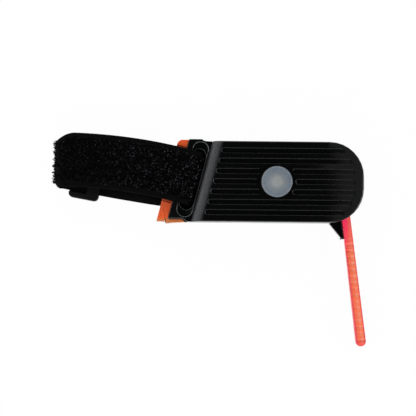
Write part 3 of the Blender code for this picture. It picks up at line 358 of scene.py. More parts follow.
def moulded(
    name, colour, rough, worn_and_lit=None, grain=2500.0, bump=0.02, marks=60.0, matte=None, **sockets
):
    """A moulded plastic or rubber with grain, uneven gloss, eased edges that are partly worn and partly
    painted highlight, and, where asked, painted sheen on the slope.
    """
    found = bpy.data.materials.get(name)
    if found:
        return found
    made, tree, shader = blank(name)
    skin = add(
        tree, "ShaderNodeGroup", node_tree=moulded_grain()
    )
    skin.inputs["Grain"].default_value = grain
    skin.inputs["Marks"].default_value = marks
    base = mixed(tree, skin.outputs["Cloud"], shaded(colour, 0.85), shaded(colour, 1.2))
    # Eased edges: patchy wear mixed with painted highlight, and a far paler painted highlight where the rub
    # level is high.
    if worn_and_lit:
        rub_and_highlight = add(tree, "ShaderNodeGroup", node_tree=edge_wear_and_highlight())
        base = mixed(tree, rub_and_highlight.outputs["Mask"], base, worn_and_lit)
        base = mixed(tree, rub_and_highlight.outputs["Painted highlight"], base, shaded(worn_and_lit, 18))
    gloss = ranged(tree, skin.outputs["Cloud"], 0.0, 1.0, rough + 0.03, rough - 0.03)
    if matte:
        slope = add(tree, "ShaderNodeGroup", node_tree=slope_sheen())
        # Grained slope: its higher roughness is its finish, its far paler gritty grey is painted sheen.
        gritty_sheen = mixed(tree, slope.outputs["Speck"], shaded(matte, 0.4), shaded(matte, 1.7))
        base = mixed(tree, slope.outputs["Mask"], base, gritty_sheen)
        gloss = add(
            tree, "ShaderNodeMath", {0: slope.outputs["Mask"], 1: 0.32, 2: gloss},
            operation="MULTIPLY_ADD",
        ).outputs[0]
    tree.links.new(base, shader.inputs["Base Color"])
    tree.links.new(gloss, shader.inputs["Roughness"])
    relief = add(
        tree, "ShaderNodeBump",
        {"Height": skin.outputs["Height"], "Strength": 0.6, "Distance": bump * MM},
    )
    tree.links.new(relief.outputs[0], shader.inputs["Normal"])
    plain(shader, {key.replace("_", " "): value for key, value in sockets.items()})
    return made


def black_moulding():
    colour = tuple(bpy.context.scene.tourniquet_colours.body)
    # The last colour is the grey of the slope's painted sheen.
    return moulded(
        "black_moulding", colour, 0.15, worn_and_lit=shaded(colour, 5), bump=0.004,
        matte=(0.027, 0.028, 0.031, 1),
    )


def keeper_nylon():
    return moulded(
        "keeper_nylon", (0.0022, 0.0022, 0.0024, 1), 0.45, worn_and_lit=(0.008, 0.008, 0.009, 1),
        grain=1800.0, Specular_IOR_Level=0.12,
    )


def seal_rubber():
    return moulded(
        "seal_rubber", (0.0030, 0.0031, 0.0034, 1), 0.6, grain=1600.0, bump=0.03,
        Specular_IOR_Level=0.06,
    )


def pad_rubber():
    return moulded(
        "pad_rubber", (0.018, 0.018, 0.019, 1), 0.6, worn_and_lit=(0.035, 0.035, 0.037, 1), grain=1600.0,
        bump=0.03, Specular_IOR_Level=0.3,
    )


def grey_nylon():
    return moulded("inner_nylon", (0.06, 0.06, 0.066, 1), 0.45, worn_and_lit=(0.16, 0.16, 0.17, 1))


def steel():
    """Plain machined steel with fine turning lines."""
    found = bpy.data.materials.get("machined_steel")
    if found:
        return found
    made, tree, shader = blank("machined_steel")
    place = add(tree, "ShaderNodeTexCoord").outputs["Object"]
    lines = add(
        tree, "ShaderNodeTexNoise", {"Vector": place, "Scale": 1500.0, "Detail": 2.0}
    ).outputs[0]
    tree.links.new(
        mixed(tree, lines, (0.42, 0.43, 0.45, 1), (0.60, 0.61, 0.63, 1)),
        shader.inputs["Base Color"],
    )
    tree.links.new(ranged(tree, lines, 0.3, 0.7, 0.22, 0.40), shader.inputs["Roughness"])
    plain(shader, {"Metallic": 1.0})
    return made


def webbing():
    """Smooth woven face and selvage of the strap."""
    found = bpy.data.materials.get("black_webbing")
    if found:
        return found
    colour = tuple(bpy.context.scene.tourniquet_colours.strap)
    made, tree, shader = blank("black_webbing")
    weave = add(tree, "ShaderNodeGroup", node_tree=webbing_weave())
    base = mixed(tree, weave.outputs["Thread"], shaded(colour, 0.7), shaded(colour, 1.6))
    ground = add(tree, "ShaderNodeAttribute", attribute_name="ground").outputs["Fac"]
    base = mixed(tree, ground, base, shaded(colour, 0.5))
    tree.links.new(base, shader.inputs["Base Color"])
    gloss = ranged(tree, weave.outputs["Height"], 0.0, 1.0, 0.78, 0.55)
    tree.links.new(gloss, shader.inputs["Roughness"])
    relief = add(
        tree, "ShaderNodeBump",
        {"Height": weave.outputs["Height"], "Strength": 0.7, "Distance": 0.12 * MM},
    )
    tree.links.new(relief.outputs[0], shader.inputs["Normal"])
    plain(shader, {"Specular IOR Level": 0.05})
    return made


def pile_yarn():
    """Loop yarn, whose painted glint is stored loop by loop."""
    found = bpy.data.materials.get("pile_yarn")
    if found:
        return found
    colours = bpy.context.scene.tourniquet_colours
    made, tree, shader = blank("pile_yarn")
    glint_tone = add(tree, "ShaderNodeAttribute", attribute_name="glint_tone").outputs["Fac"]
    base = mixed(tree, glint_tone, shaded(colours.strap, 0.6), tuple(colours.pile))
    tree.links.new(base, shader.inputs["Base Color"])
    place = add(tree, "ShaderNodeTexCoord").outputs["Object"]
    twist = add(
        tree, "ShaderNodeTexNoise", {"Vector": place, "Scale": 5200.0, "Detail": 2.0}
    ).outputs[0]
    relief = add(
        tree, "ShaderNodeBump", {"Height": twist, "Strength": 0.6, "Distance": 0.05 * MM}
    )
    tree.links.new(relief.outputs[0], shader.inputs["Normal"])
    tree.links.new(ranged(tree, twist, 0.3, 0.7, 0.45, 0.7), shader.inputs["Roughness"])
    plain(shader, {"Specular IOR Level": 0.01})
    return made


# Shapes


def merged_copy(node):
    """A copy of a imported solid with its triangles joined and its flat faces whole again."""
    shape = bmesh.new()
    shape.from_mesh(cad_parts[node].data)
    bmesh.ops.remove_doubles(shape, verts=shape.verts[:], dist=1e-6)
    bmesh.ops.dissolve_limit(
        shape, angle_limit=math.radians(0.4), verts=shape.verts[:], edges=shape.edges[:]
    )
    return shape


def eased(shape, width, segments=2, sharper=50, skip=None):
    """Rounds every edge that is sharper than an angle, and marks the new faces."""
    rub_and_highlight = shape.faces.layers.float.new("rub_and_highlight")
    edges = [
        edge
        for edge in shape.edges
        if len(edge.link_faces) == 2 and edge.calc_face_angle() > math.radians(sharper)
    ]
    if skip:
        edges = [edge for edge in edges if not skip(edge)]
    made = bmesh.ops.bevel(
        shape, geom=edges, offset=width, segments=segments, profile=0.5, affect="EDGES",
        clamp_overlap=False, material=-1,
    )
    for face in made["faces"]:
        face[rub_and_highlight] = 1.0
    return shape


def cut_across(shape, start, end, count):
    """Cuts a strip across its run, so that it can bend between two places."""
    start, end = Vector(start), Vector(end)
    for i in range(count + 1):
        bmesh.ops.bisect_plane(
            shape, geom=shape.verts[:] + shape.edges[:] + shape.faces[:], dist=1e-7,
            plane_co=start.lerp(end, i / count), plane_no=end - start,
        )
    return shape


def mark_painted_highlight(shape, level, choose):
    """Marks chosen eased edges for a pale painted highlight."""
    rub_and_highlight = shape.faces.layers.float["rub_and_highlight"]
    for face in shape.faces:
        if face[rub_and_highlight] and choose(face.calc_center_median(), face.normal):
            face[rub_and_highlight] = level
    return shape


def turned(profile, sides=96):
    """A solid of revolution about Z from a closed (radius, height) profile."""
    shape = bmesh.new()
    ring = [shape.verts.new((radius, 0, height)) for radius, height in profile]
    edges = [shape.edges.new(pair) for pair in zip(ring, ring[1:] + ring[:1])]
    bmesh.ops.spin(
        shape, geom=ring + edges, cent=(0, 0, 0), axis=(0, 0, 1), angle=math.tau,
        steps=sides, use_merge=True,
    )
    bmesh.ops.remove_doubles(shape, verts=shape.verts[:], dist=1e-6)
    loose = [edge for edge in shape.edges if not edge.link_faces]
    bmesh.ops.delete(shape, geom=loose, context="EDGES")
    bmesh.ops.recalc_face_normals(shape, faces=shape.faces[:])
    return shape


def show(name, shape, material, nodes, body=None, smooth=38):
    """Makes a piece from a shape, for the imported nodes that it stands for."""
    mesh = bpy.data.meshes.new(name)
    shape.to_mesh(mesh)
    shape.free()
    mesh.materials.append(material)
    mesh.shade_smooth()
    mesh.set_sharp_from_angle(angle=math.radians(smooth))
    item = bpy.data.objects.new(name, mesh)
    bpy.context.scene.collection.objects.link(item)
    if body:
        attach(item, body)
    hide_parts(*nodes)
    return item


def even_shading(item):
    """Keeps the flat faces flat next to their eased edges."""
    finish = item.modifiers.new("even_shading", "WEIGHTED_NORMAL")
    finish.keep_sharp = True
    return item


def dress(node, material):
    """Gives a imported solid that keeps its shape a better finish."""
    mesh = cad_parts[node].data
    mesh.materials.clear()
    mesh.materials.append(material)


# Strap


def smooth(value):
    value = min(1.0, max(0.0, value))
    return value * value * (3 - 2 * value)


def front_y(x):
    run = (WRAP.x - x) / MM
    return WRAP.y + (0.275 * run - 0.001519 * run * run) * MM


def return_y(x):
    run = max(0.0, ROD_X - 10 * MM - x) / MM
    if run < 42:
        return run * run * 0.182 / 84 * MM
    return (42 * 0.182 / 2 + 0.182 * (run - 42)) * MM


def front_z(x):
    return Z_FRONT - 3.4 * MM * smooth((PLATE_X - x) / (60 * MM))


def tail_z(x):
    near = smooth((PLATE_X - 1 * MM - x) / (16 * MM))
    return front_z(x) - 2.15 * MM - 3.25 * MM * (1 - near)


def return_z(x):
    return Z_LOW + (Z_INSIDE - Z_LOW) * smooth((x - PLATE_X + 48 * MM) / (36.9 * MM))


def lean(middle, x):
    return (middle(x - MM) - middle(x + MM)) / (2 * MM)


def strap_route():
    """Spots along the strap's middle with the lean of the band, from its tail to the rod."""
    route = []
    for i in range(30):
        x = WRAP.x - TAIL_LENGTH * (1 - i / 30)
        route.append((Vector((x, front_y(x), tail_z(x))), lean(front_y, x)))
    radius = (Z_FRONT - Z_TAIL) / 2
    right = Vector((math.cos(SLANT), -math.sin(SLANT), 0))
    for i in range(17):
        turn = math.radians(-90 + 180 * i / 16)
        spot = WRAP + right * radius * math.cos(turn) + Vector((0, 0, radius * math.sin(turn)))
        route.append((spot, math.tan(SLANT)))
    for i in range(1, 84):
        x = WRAP.x + (FOLD_X - WRAP.x) * i / 84
        route.append((Vector((x, front_y(x), front_z(x))), lean(front_y, x)))
    high, low = front_z(FOLD_X), return_z(FOLD_X)
    radius = (high - low) / 2
    for i in range(33):
        turn = math.radians(90 + 180 * i / 32)
        part = smooth(2 * i / 32 - 1)
        y = front_y(FOLD_X) * (1 - part) + return_y(FOLD_X) * part
        slope = lean(front_y, FOLD_X) * (1 - part) + lean(return_y, FOLD_X) * part
        spot = Vector((FOLD_X + radius * math.cos(turn), y, (high + low) / 2 + radius * math.sin(turn)))
        route.append((spot, slope))
    for i in range(1, 100):
        x = FOLD_X + (ROD_X - FOLD_X) * i / 100
        route.append((Vector((x, return_y(x), return_z(x))), lean(return_y, x)))
    for i in range(25):
        turn = math.radians(-90 + 280 * i / 24)
        spot = Vector((ROD_X + LOOP_RADIUS * math.cos(turn), return_y(ROD_X), ROD_Z))
        spot.z += LOOP_RADIUS * math.sin(turn)
        route.append((spot, 0.0))
    return route


def strap_stations():
    """Length, spot, direction across and direction out of the pile side at each station."""
    route = strap_route()
    stations = []
    length = 0.0
    for i, (spot, slope) in enumerate(route):
        before, after = route[max(0, i - 1)][0], route[min(len(route) - 1, i + 1)][0]
        across = Vector((slope, 1, 0)).normalized()
        out = across.cross((after - before).normalized()).normalized()
        if i:
            length += (spot - route[i - 1][0]).length
        stations.append((length, spot, across, out))
    return stations


TAIL_STATIONS = 30
FRONT_STATIONS = 30 + 17 + 83
SPLIT_STATION = 30 + 17 + 83 + 33 + 13


def station_at(stations, length):
    """Spot, across and out between two stations."""
    low, high = 0, len(stations) - 1
    while high - low > 1:
        middle = (low + high) // 2
        if stations[middle][0] <= length:
            low = middle
        else:
            high = middle
    one, two = stations[low], stations[high]
    part = (length - one[0]) / max(1e-9, two[0] - one[0])
    return tuple(one[k].lerp(two[k], part) for k in (1, 2, 3))


def band_profile(looks):
    """Closed section of the webbing as (across, out), with its low selvages."""
    half = looks.width / 2
    edge = half - looks.selvage
    side = [
        (half, -0.33 * MM), (half - 0.2 * MM, 0.1 * MM), (half - 0.55 * MM, 0.22 * MM),
        (edge + 0.3 * MM, 0.22 * MM), (edge - 0.1 * MM, 0.42 * MM), (edge - 0.5 * MM, 0.5 * MM),
    ]
    inner = edge - 0.5 * MM
    face = [(inner - inner * 2 * k / 10, 0.5 * MM) for k in range(1, 10)]
    top = side + face + [(-across, out) for across, out in reversed(side)]
    back = [(-half + 0.2 * MM, -0.78 * MM), (-half + 0.6 * MM, -0.9 * MM)]
    flat = [((-half + 0.6 * MM) * (1 - k / 5), -0.9 * MM) for k in range(1, 5)]
    below = back + flat + [(0, -0.9 * MM)]
    below += [(-across, out) for across, out in reversed(back + flat)]
    ring = top + below
    return ring + ring[:1]


def drawn_in(spot, aside, half):
    """Place across the band, narrowed where the fold's two corners curl in."""
    depth, run = (6.0 * MM, 13 * MM) if aside > 0 else (2.4 * MM, 6 * MM)
    near = min(1.0, max(0.0, 1 - (spot.x - FOLD_TIP) / run))
    return aside * (1 - depth / half * near**1.7)


def swept_band(stations, profile, label="weave", half=None):
    """The section carried along the stations as one closed tube, with its map in metres."""
    shape = bmesh.new()
    count, sides = len(stations) - 1, len(profile) - 1
    bmesh.ops.create_grid(shape, x_segments=count, y_segments=sides, size=0.5)
    weave = shape.loops.layers.uv.new(label)
    ground = shape.verts.layers.float.new("ground")
    low = min(vert.co.x for vert in shape.verts)
    spots = {}
    for vert in shape.verts:
        i, k = round((vert.co.x - low) * count), round((vert.co.y - low) * sides)
        length, spot, across, out = stations[i]
        aside, away = profile[k]
        spots[vert] = (length, aside + (0.1 if away < -0.5 * MM else 0.0))
        vert[ground] = 1.0 if away > 0.45 * MM else 0.0
        if half:
            aside = drawn_in(spot, aside, half)
        vert.co = spot + across * aside + out * away
    for face in shape.faces:
        for loop in face.loops:
            loop[weave].uv = spots[loop.vert]
    bmesh.ops.remove_doubles(shape, verts=shape.verts[:], dist=1e-7)
    rims = [edge for edge in shape.edges if edge.is_boundary]
    bmesh.ops.holes_fill(shape, edges=rims)
    bmesh.ops.recalc_face_normals(shape, faces=shape.faces[:])
    return shape


def loop_yarn(looks):
    """One loop of pile standing on Z = 0, as a small mesh with a painted glint tone."""
    shape = bmesh.new()
    bmesh.ops.create_circle(
        shape, cap_ends=True, segments=3, radius=looks.yarn / 2,
        matrix=Matrix.Translation((0.5 * MM, 0, 0)),
    )
    bmesh.ops.spin(
        shape, geom=shape.verts[:] + shape.edges[:] + shape.faces[:], cent=(0, 0, 0),
        axis=(0, -1, 0), angle=math.pi, steps=5,
    )
    bmesh.ops.remove_doubles(shape, verts=shape.verts[:], dist=1e-7)
    bmesh.ops.recalc_face_normals(shape, faces=shape.faces[:])
    shape.verts.layers.float.new("glint_tone")
    mesh = bpy.data.meshes.new("loop_yarn")
    shape.to_mesh(mesh)
    shape.free()
    return mesh


def pile_row(yarn, looks, start, stop, reach, chance, height, glint_strength):
    """Loops of pile on a flat stretch of the strap, one in each jittered place."""
    shape = bmesh.new()
    rest = [vert.co.copy() for vert in yarn.vertices]
    step = looks.spacing
    along = start + step / 2
    while along < stop:
        aside = -reach + step / 2
        while aside < reach:
            spot = Vector((along, aside, 0))
            spot += Vector((chance.uniform(-0.45, 0.45), chance.uniform(-0.45, 0.45), 0)) * step
            tall = height(spot.x, spot.y) * chance.uniform(0.4, 1.6)
            turn = Matrix.Rotation(chance.uniform(0, math.tau), 3, "Z")
            turn = turn @ Matrix.Rotation(chance.gauss(0, 0.45), 3, "X")
            wide = chance.uniform(0.7, 1.25)
            # Painted glint: a few loops at random get a pale colour for light on their tops.
            glint_tone = chance.random() ** 5 * glint_strength(spot.x)
            for vert, place in zip(yarn.vertices, rest):
                bent = Vector((place.x * wide, place.y * 1.1, place.z * tall / (0.5 * MM)))
                vert.co = spot + turn @ bent
            yarn.attributes["glint_tone"].data.foreach_set("value", [glint_tone] * len(rest))
            shape.from_mesh(yarn)
            aside += step
        along += step
    for vert, place in zip(yarn.vertices, rest):
        vert.co = place
    mesh = bpy.data.meshes.new("pile_row")
    shape.to_mesh(mesh)
    shape.free()
    return mesh


def pile(stations, looks, start, stop, seed, height, glint_strength):
    """Loop pile on the outer side of the strap between two lengths."""
    chance = random.Random(seed)
    yarn = loop_yarn(looks)
    reach = looks.width / 2 - looks.selvage - 0.2 * MM
    whole = bmesh.new()
    piece = 8 * looks.spacing
    at = start
    while at < stop:
        row = pile_row(yarn, looks, at, min(stop, at + piece), reach, chance, height, glint_strength)
        whole.from_mesh(row)
        bpy.data.meshes.remove(row)
        at += piece
    bpy.data.meshes.remove(yarn)
    spread = (looks.width / 2 - 0.5 * MM) / reach - 1
    for vert in whole.verts:
        spot, across, out = station_at(stations, vert.co.x)
        near = smooth(1 - (spot.x - FOLD_TIP) / (5 * MM))
        aside = drawn_in(spot, vert.co.y * (1 + spread * near), looks.width / 2)
        vert.co = spot + across * aside + out * (0.42 * MM - 0.3 * MM * near + vert.co.z)
    bmesh.ops.reverse_faces(whole, faces=whole.faces[:])
    return whole


class TOURNIQUET_OT_strap(bpy.types.Operator):
    """Weave the strap with its selvages and loop pile"""

    bl_idname = "tourniquet.strap"
    bl_label = "Strap"

    def execute(self, context):
        looks = context.scene.tourniquet_strap
        stations = strap_stations()
        profile = band_profile(looks)
        split = SPLIT_STATION
        half = looks.width / 2
        front = swept_band(stations[: split + 1], profile, half=half)
        show("strap_front", front, webbing(), ["strap"], "housing", 60)
        back = swept_band(stations[split:], profile, half=half)
        inner = show("strap_return", back, webbing(), ["strap"], None, 60)
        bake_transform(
            inner, "housing", "carriage", start=(PLATE_X - 8 * MM, 0, 0), end=(ROD_X - 4 * MM, 0, 0)
        )

        def fullness(length, aside):
            """Height of the pile, which stands in uneven clumps round the fold."""
            spot = station_at(stations, length)[0]
            if spot.z < 8 * MM and spot.x > FOLD_X:
                return 0.25 * MM
            ragged = smooth((FOLD_X - 3 * MM - spot.x) / (4 * MM))
            clump = math.sin(aside * 2100) * math.sin(aside * 790 + 1.3) + 0.5
            corner = smooth((abs(aside) - 9 * MM) / (4 * MM))
            return looks.pile_height * (1 + ragged * (0.6 * max(-0.6, clump) + 0.4 * corner))

        # Painted light: the glints grow stronger from the fold toward the slot.
        def glint_strength(length):
            spot = station_at(stations, length)[0]
            return 0.4 + 0.6 * smooth((spot.x - FOLD_X) / (75 * MM))

        first = stations[TAIL_STATIONS + 9][0]
        middle = stations[split][0]
        last = min(
            length for length, spot, _, _ in stations[split:] if spot.x > PLATE_X - 12 * MM
        )
        loops = pile(stations, looks, first, middle, looks.seed, fullness, glint_strength)
        show("strap_front_pile", loops, pile_yarn(), ["strap"], "housing", 80)

        def thin(length, aside):
            spot = station_at(stations, length)[0]
            near = spot.x < KEEPER_X + 19 * MM
            return 0.25 * MM if near else looks.pile_height * 0.8

        loops = pile(stations, looks, middle, last, looks.seed + 1, thin, glint_strength)
        show("strap_return_pile", loops, pile_yarn(), ["strap"], "housing", 80)
        return {"FINISHED"}


# Mouldings


class TOURNIQUET_OT_body(bpy.types.Operator):
    """Ease the edges of the cover and the shell, and give them their moulded skin"""

    bl_idname = "tourniquet.body"
    bl_label = "Body"

    def execute(self, context):
        def run_out(edge):
            """The grooves' right ends and the button's recess, which show no crisp rim."""
            walls = [face.normal for face in edge.link_faces if abs(face.normal.z) < 0.3]
            ends = any(wall.x < -0.4 for wall in walls) and edge.verts[0].co.z > 21 * MM
            return ends or edge.verts[0].co.xy.length < 12.6 * MM

        shape = eased(merged_copy("front_cover"), 0.14 * MM, skip=run_out)
        # Painted highlight on the eased rims at the grooves' left ends, whose walls face +X.
        mark_painted_highlight(
            shape, 2.9,
            lambda spot, way: spot.z > FACE_Z - 0.6 * MM and spot.x < 20 * MM and way.x > 0.25,
        )
        # Faces that get the slope's painted sheen: the slope and the face beside it.
        matte = shape.faces.layers.float.new("matte")
        for face in shape.faces:
            spot = face.calc_center_median()
            square = spot.x - spot.y * math.tan(SLANT)
            slopes = square < FACE_X and face.normal.x < -0.05
            if spot.z > PLATE_Z - 0.4 * MM and (slopes or spot.z > FACE_Z - 0.1 * MM):
                face[matte] = 1.0
        cover = show(
            "cover_moulding", shape, black_moulding(), ["front_cover"], "housing"
        )
        even_shading(cover)
        shape = eased(merged_copy("rear_shell"), 0.25 * MM)

        def slot_rim(spot, way):
            """The rounded ends of the pocket and of the slot in it, which get a painted highlight."""
            square = spot.x - spot.y * math.tan(SLANT)
            ends = 13 * MM < abs(spot.y) < 27.2 * MM
            return ends and PLATE_X + 1 * MM < square < FACE_X - 7 * MM and spot.z > PLATE_Z - 2 * MM

        # Painted highlight on the rims of the pocket's and the slot's rounded ends.
        mark_painted_highlight(shape, 2.6, slot_rim)
        shell = show(
            "shell_moulding", shape, black_moulding(), ["rear_shell"], "housing"
        )
        even_shading(shell)
        return {"FINISHED"}


def orange_moulding():
    """Orange plastic, paler along the tab, with painted light at the far end."""
    colour = tuple(bpy.context.scene.tourniquet_colours.guide)
    made = moulded(
        "orange_moulding", colour, 0.42, worn_and_lit=(0.62, 0.30, 0.18, 1), bump=0.02,
        Subsurface_Weight=0.1, Subsurface_Scale=0.002,
    )
    tree = made.node_tree
    shader = tree.nodes["Principled BSDF"]
    base = shader.inputs["Base Color"].links[0].from_socket
    place = add(tree, "ShaderNodeTexCoord").outputs["Object"]
    side = add(tree, "ShaderNodeSeparateXYZ", {0: place}).outputs[1]
    tab = ranged(tree, side, -24.8 * MM, -26.2 * MM, 0.0, 0.8)
    base = mixed(tree, tab, base, (0.60, 0.20, 0.05, 1))
    # Painted light: a paler orange toward the far end makes up for the partial shade on the lip there.
    far = ranged(tree, side, 20 * MM, 26 * MM, 0.0, 1.0)
    base = mixed(tree, far, base, shaded(colour, 1.25))
    tree.links.new(base, shader.inputs["Base Color"])
    return made


class TOURNIQUET_OT_guide(bpy.types.Operator):
    """Ease the orange mouth"""

    bl_idname = "tourniquet.guide"
    bl_label = "Strap guide"

    def execute(self, context):
        shape = eased(merged_copy("strap_guide"), 0.3 * MM)
        guide = show(
            "guide_moulding", shape, orange_moulding(), ["strap_guide"], "housing"
        )
        even_shading(guide)
        return {"FINISHED"}


class TOURNIQUET_OT_keeper(bpy.types.Operator):
    """Ease the keeper on the return band"""

    bl_idname = "tourniquet.keeper"
    bl_label = "Keeper"

    def execute(self, context):
        shape = eased(merged_copy("keeper"), 0.4 * MM, 3)
        even_shading(
            show("keeper_moulding", shape, keeper_nylon(), ["keeper"], "keeper")
        )
        return {"FINISHED"}


def frosted():
    """Frosted cap: brighter over the light, darker toward the rim, with painted shade on its side wall."""
    colours = bpy.context.scene.tourniquet_colours
    made, tree, shader = blank("frosted_cap")
    place = add(tree, "ShaderNodeTexCoord").outputs["Object"]
    flat = add(tree, "ShaderNodeVectorMath", {0: place, 1: (1, 1, 0)}, operation="MULTIPLY")
    far = add(tree, "ShaderNodeVectorMath", {0: flat.outputs[0]}, operation="LENGTH").outputs["Value"]
    glow = ranged(tree, far, 0.002, 0.0085, 1.0, 0.0)
    skin = add(tree, "ShaderNodeGroup", node_tree=moulded_grain())
    skin.inputs["Grain"].default_value = 3200.0
    skin.inputs["Marks"].default_value = 240.0
    base = mixed(tree, glow, tuple(colours.button), tuple(colours.button_middle))
    rim = ranged(tree, far, 0.0094, 0.0099, 0.0, 0.15)
    base = mixed(tree, rim, base, (0.42, 0.44, 0.46, 1))
    # Painted shade: the cap's outer wall, between it and the seal, is painted near black.
    wall = ranged(tree, far, 0.0102, 0.0106, 0.0, 0.9)
    base = mixed(tree, wall, base, (0.012, 0.013, 0.015, 1))
    core = ranged(tree, far, 0.0030, 0.0052, 0.18, 0.0)
    base = mixed(tree, core, base, (0.47, 0.46, 0.42, 1))
    cloud = ranged(tree, skin.outputs["Cloud"], 0.0, 1.0, 0.0, 0.10)
    base = mixed(tree, cloud, base, (0.5, 0.52, 0.54, 1))
    tree.links.new(base, shader.inputs["Base Color"])
    relief = add(
        tree, "ShaderNodeBump",
        {"Height": skin.outputs["Height"], "Strength": 0.5, "Distance": 0.02 * MM},
    )
    tree.links.new(relief.outputs[0], shader.inputs["Normal"])
    tree.links.new(
        ranged(tree, skin.outputs["Cloud"], 0.0, 1.0, 0.5, 0.4), shader.inputs["Roughness"]
    )
    plain(shader, {"Subsurface Weight": 0.15, "Subsurface Scale": 0.003})
    return made


class TOURNIQUET_OT_button(bpy.types.Operator):
    """Turn the frosted button and its seal"""

    bl_idname = "tourniquet.button"
    bl_label = "Button"

    def execute(self, context):
        low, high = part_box("button_cap")
        radius = 10.7 * MM
        flange = (high.x - low.x) / 2
        base = low.z
        top = high.z
        face = top - 1.4 * MM
        inner = radius - 1.8 * MM
        profile = [
            (inner, base), (flange, base), (flange, base + 1.0 * MM), (radius, base + 1.0 * MM),
            (radius, face), (radius - 0.06 * MM, face + 0.25 * MM),
            (radius - 0.25 * MM, face + 0.45 * MM), (radius - 0.55 * MM, face + 0.58 * MM),
            (radius - 1.2 * MM, face + 0.74 * MM), (radius * 0.75, face + 0.98 * MM),
            (radius * 0.5, face + 1.2 * MM), (radius * 0.25, face + 1.35 * MM),
            (radius * 0.08, top), (0, top), (0, face - 1.0 * MM), (inner, face - 1.0 * MM),
        ]
        cap = turned(profile)
        show("button_dome", cap, frosted(), ["button_cap"], "button", 50)

        low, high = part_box("button_seal")
        outer = (high.x - low.x) / 2
        hole = radius + 0.35 * MM
        lip = [
            (hole, low.z), (outer, low.z), (outer, high.z - 0.25 * MM),
            (outer - 0.1 * MM, high.z - 0.08 * MM), (outer - 0.3 * MM, high.z),
            (hole + 0.3 * MM, high.z), (hole + 0.1 * MM, high.z - 0.08 * MM),
            (hole, high.z - 0.25 * MM),
        ]
        show("seal_ring", turned(lip), seal_rubber(), ["button_seal"], "housing", 50)
        return {"FINISHED"}


# Lever


def clear_red():
    """See-through red bar with a pale ladder inside; deeper red at its sides and tip is painted shade, and
    the root's crimson and a faint glow are painted light.
    """
    colours = bpy.context.scene.tourniquet_colours
    made, tree, shader = blank("clear_red")
    place = add(tree, "ShaderNodeTexCoord").outputs["Object"]
    turn = add(
        tree, "ShaderNodeMapping",
        {"Vector": place, "Location": (REEL_X, 0, 0), "Rotation": (0, 0, LEVER_TURN)},
        vector_type="TEXTURE",
    )
    split = add(tree, "ShaderNodeSeparateXYZ", {0: turn.outputs[0]})
    along, across = split.outputs[0], split.outputs[1]
    left, right = GRIP_OFFSET - GRIP_HALF, GRIP_OFFSET + GRIP_HALF

    pale = times(
        tree, ranged(tree, across, GRIP_OFFSET - 0.4 * MM, GRIP_OFFSET + 0.6 * MM, 0.0, 1.0),
        ranged(tree, across, right - 0.9 * MM, right - 1.5 * MM, 0.0, 1.0),
    )
    beat = add(
        tree, "ShaderNodeMath", {0: along, 1: math.tau / RIB_PITCH, 2: -math.tau * RIB_FIRST / RIB_PITCH},
        operation="MULTIPLY_ADD",
    ).outputs[0]
    beat = add(tree, "ShaderNodeMath", {0: beat}, operation="COSINE").outputs[0]
    ladder = times(tree, pale, ranged(tree, beat, -0.3, 0.9, 0.25, 0.8))
    flow = add(
        tree, "ShaderNodeTexNoise", {"Vector": place, "Scale": 180.0, "Detail": 3.0}
    ).outputs[0]

    base = mixed(tree, ladder, tuple(colours.grip), (1.0, 0.40, 0.27, 1))
    base = mixed(tree, ranged(tree, flow, 0.4, 0.7, 0.0, 0.2), base, (0.98, 0.30, 0.19, 1))
    # Painted light: the root's strong crimson, and the stronger glow there, make up for the shadow of the
    # body above it.
    root = ranged(tree, along, 30 * MM, 50 * MM, 1.0, 0.0)
    root = times(tree, root, ranged(tree, across, GRIP_OFFSET - 0.5 * MM, GRIP_OFFSET + 1.6 * MM, 1.0, 0.35))
    # Painted shade: deeper red at the bar's tip and along its sides.
    tip = ranged(tree, along, 0.1085, 0.1145, 0.0, 0.7)
    edge = add(
        tree, "ShaderNodeMath",
        {
            0: ranged(tree, across, left + 0.7 * MM, left + 1.7 * MM, 0.75, 0.0),
            1: ranged(tree, across, right - 0.8 * MM, right - 0.2 * MM, 0.0, 0.8),
        },
        operation="MAXIMUM",
    ).outputs[0]
    deep = add(tree, "ShaderNodeMath", {0: root, 1: tip}, operation="MAXIMUM").outputs[0]
    base = mixed(tree, edge, base, shaded(colours.grip_root, 0.8))
    base = mixed(tree, deep, base, tuple(colours.grip_root))
    tree.links.new(base, shader.inputs["Base Color"])
    tree.links.new(ranged(tree, flow, 0.3, 0.7, 0.28, 0.42), shader.inputs["Roughness"])
    # Painted glow: the bar gives off a faint light of its own, strongest at the root, though it is no lamp.
    painted_glow = mixed(tree, root, (0.12, 0.05, 0.01, 1), (1.0, 0.03, 0.12, 1))
    tree.links.new(painted_glow, shader.inputs["Emission Color"])
    plain(
        shader,
        {
            "Transmission Weight": 0.12, "IOR": 1.49, "Emission Strength": 0.24,
            "Subsurface Weight": 0.4, "Subsurface Scale": 0.003,
        },
    )
    return made


class TOURNIQUET_OT_lever(bpy.types.Operator):
    """Ease the lever's root and its see-through bar"""

    bl_idname = "tourniquet.lever"
    bl_label = "Lever"

    def execute(self, context):
        shape = eased(merged_copy("lever_hub"), 0.25 * MM)
        even_shading(
            show("lever_root", shape, black_moulding(), ["lever_hub"], "lever")
        )
        shape = eased(merged_copy("lever_grip"), 0.3 * MM, 3)
        even_shading(
            show("lever_bar", shape, clear_red(), ["lever_grip"], "lever")
        )
        for node in ("grip_rivet_1", "grip_rivet_2", "drive_pawl_pin", "drive_pawl"):
            dress(node, steel())
        held, pushes = (21.95 * MM, 2.35 * MM, 0), (25.0 * MM, -1.2 * MM, 0)
        shape = cut_across(merged_copy("drive_pawl_spring"), held, pushes, 8)
        strip = show("pawl_spring_strip", shape, steel(), ["drive_pawl_spring"], None, 60)
        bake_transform(strip, "lever", "drive_pawl", start=held, end=pushes)
        return {"FINISHED"}


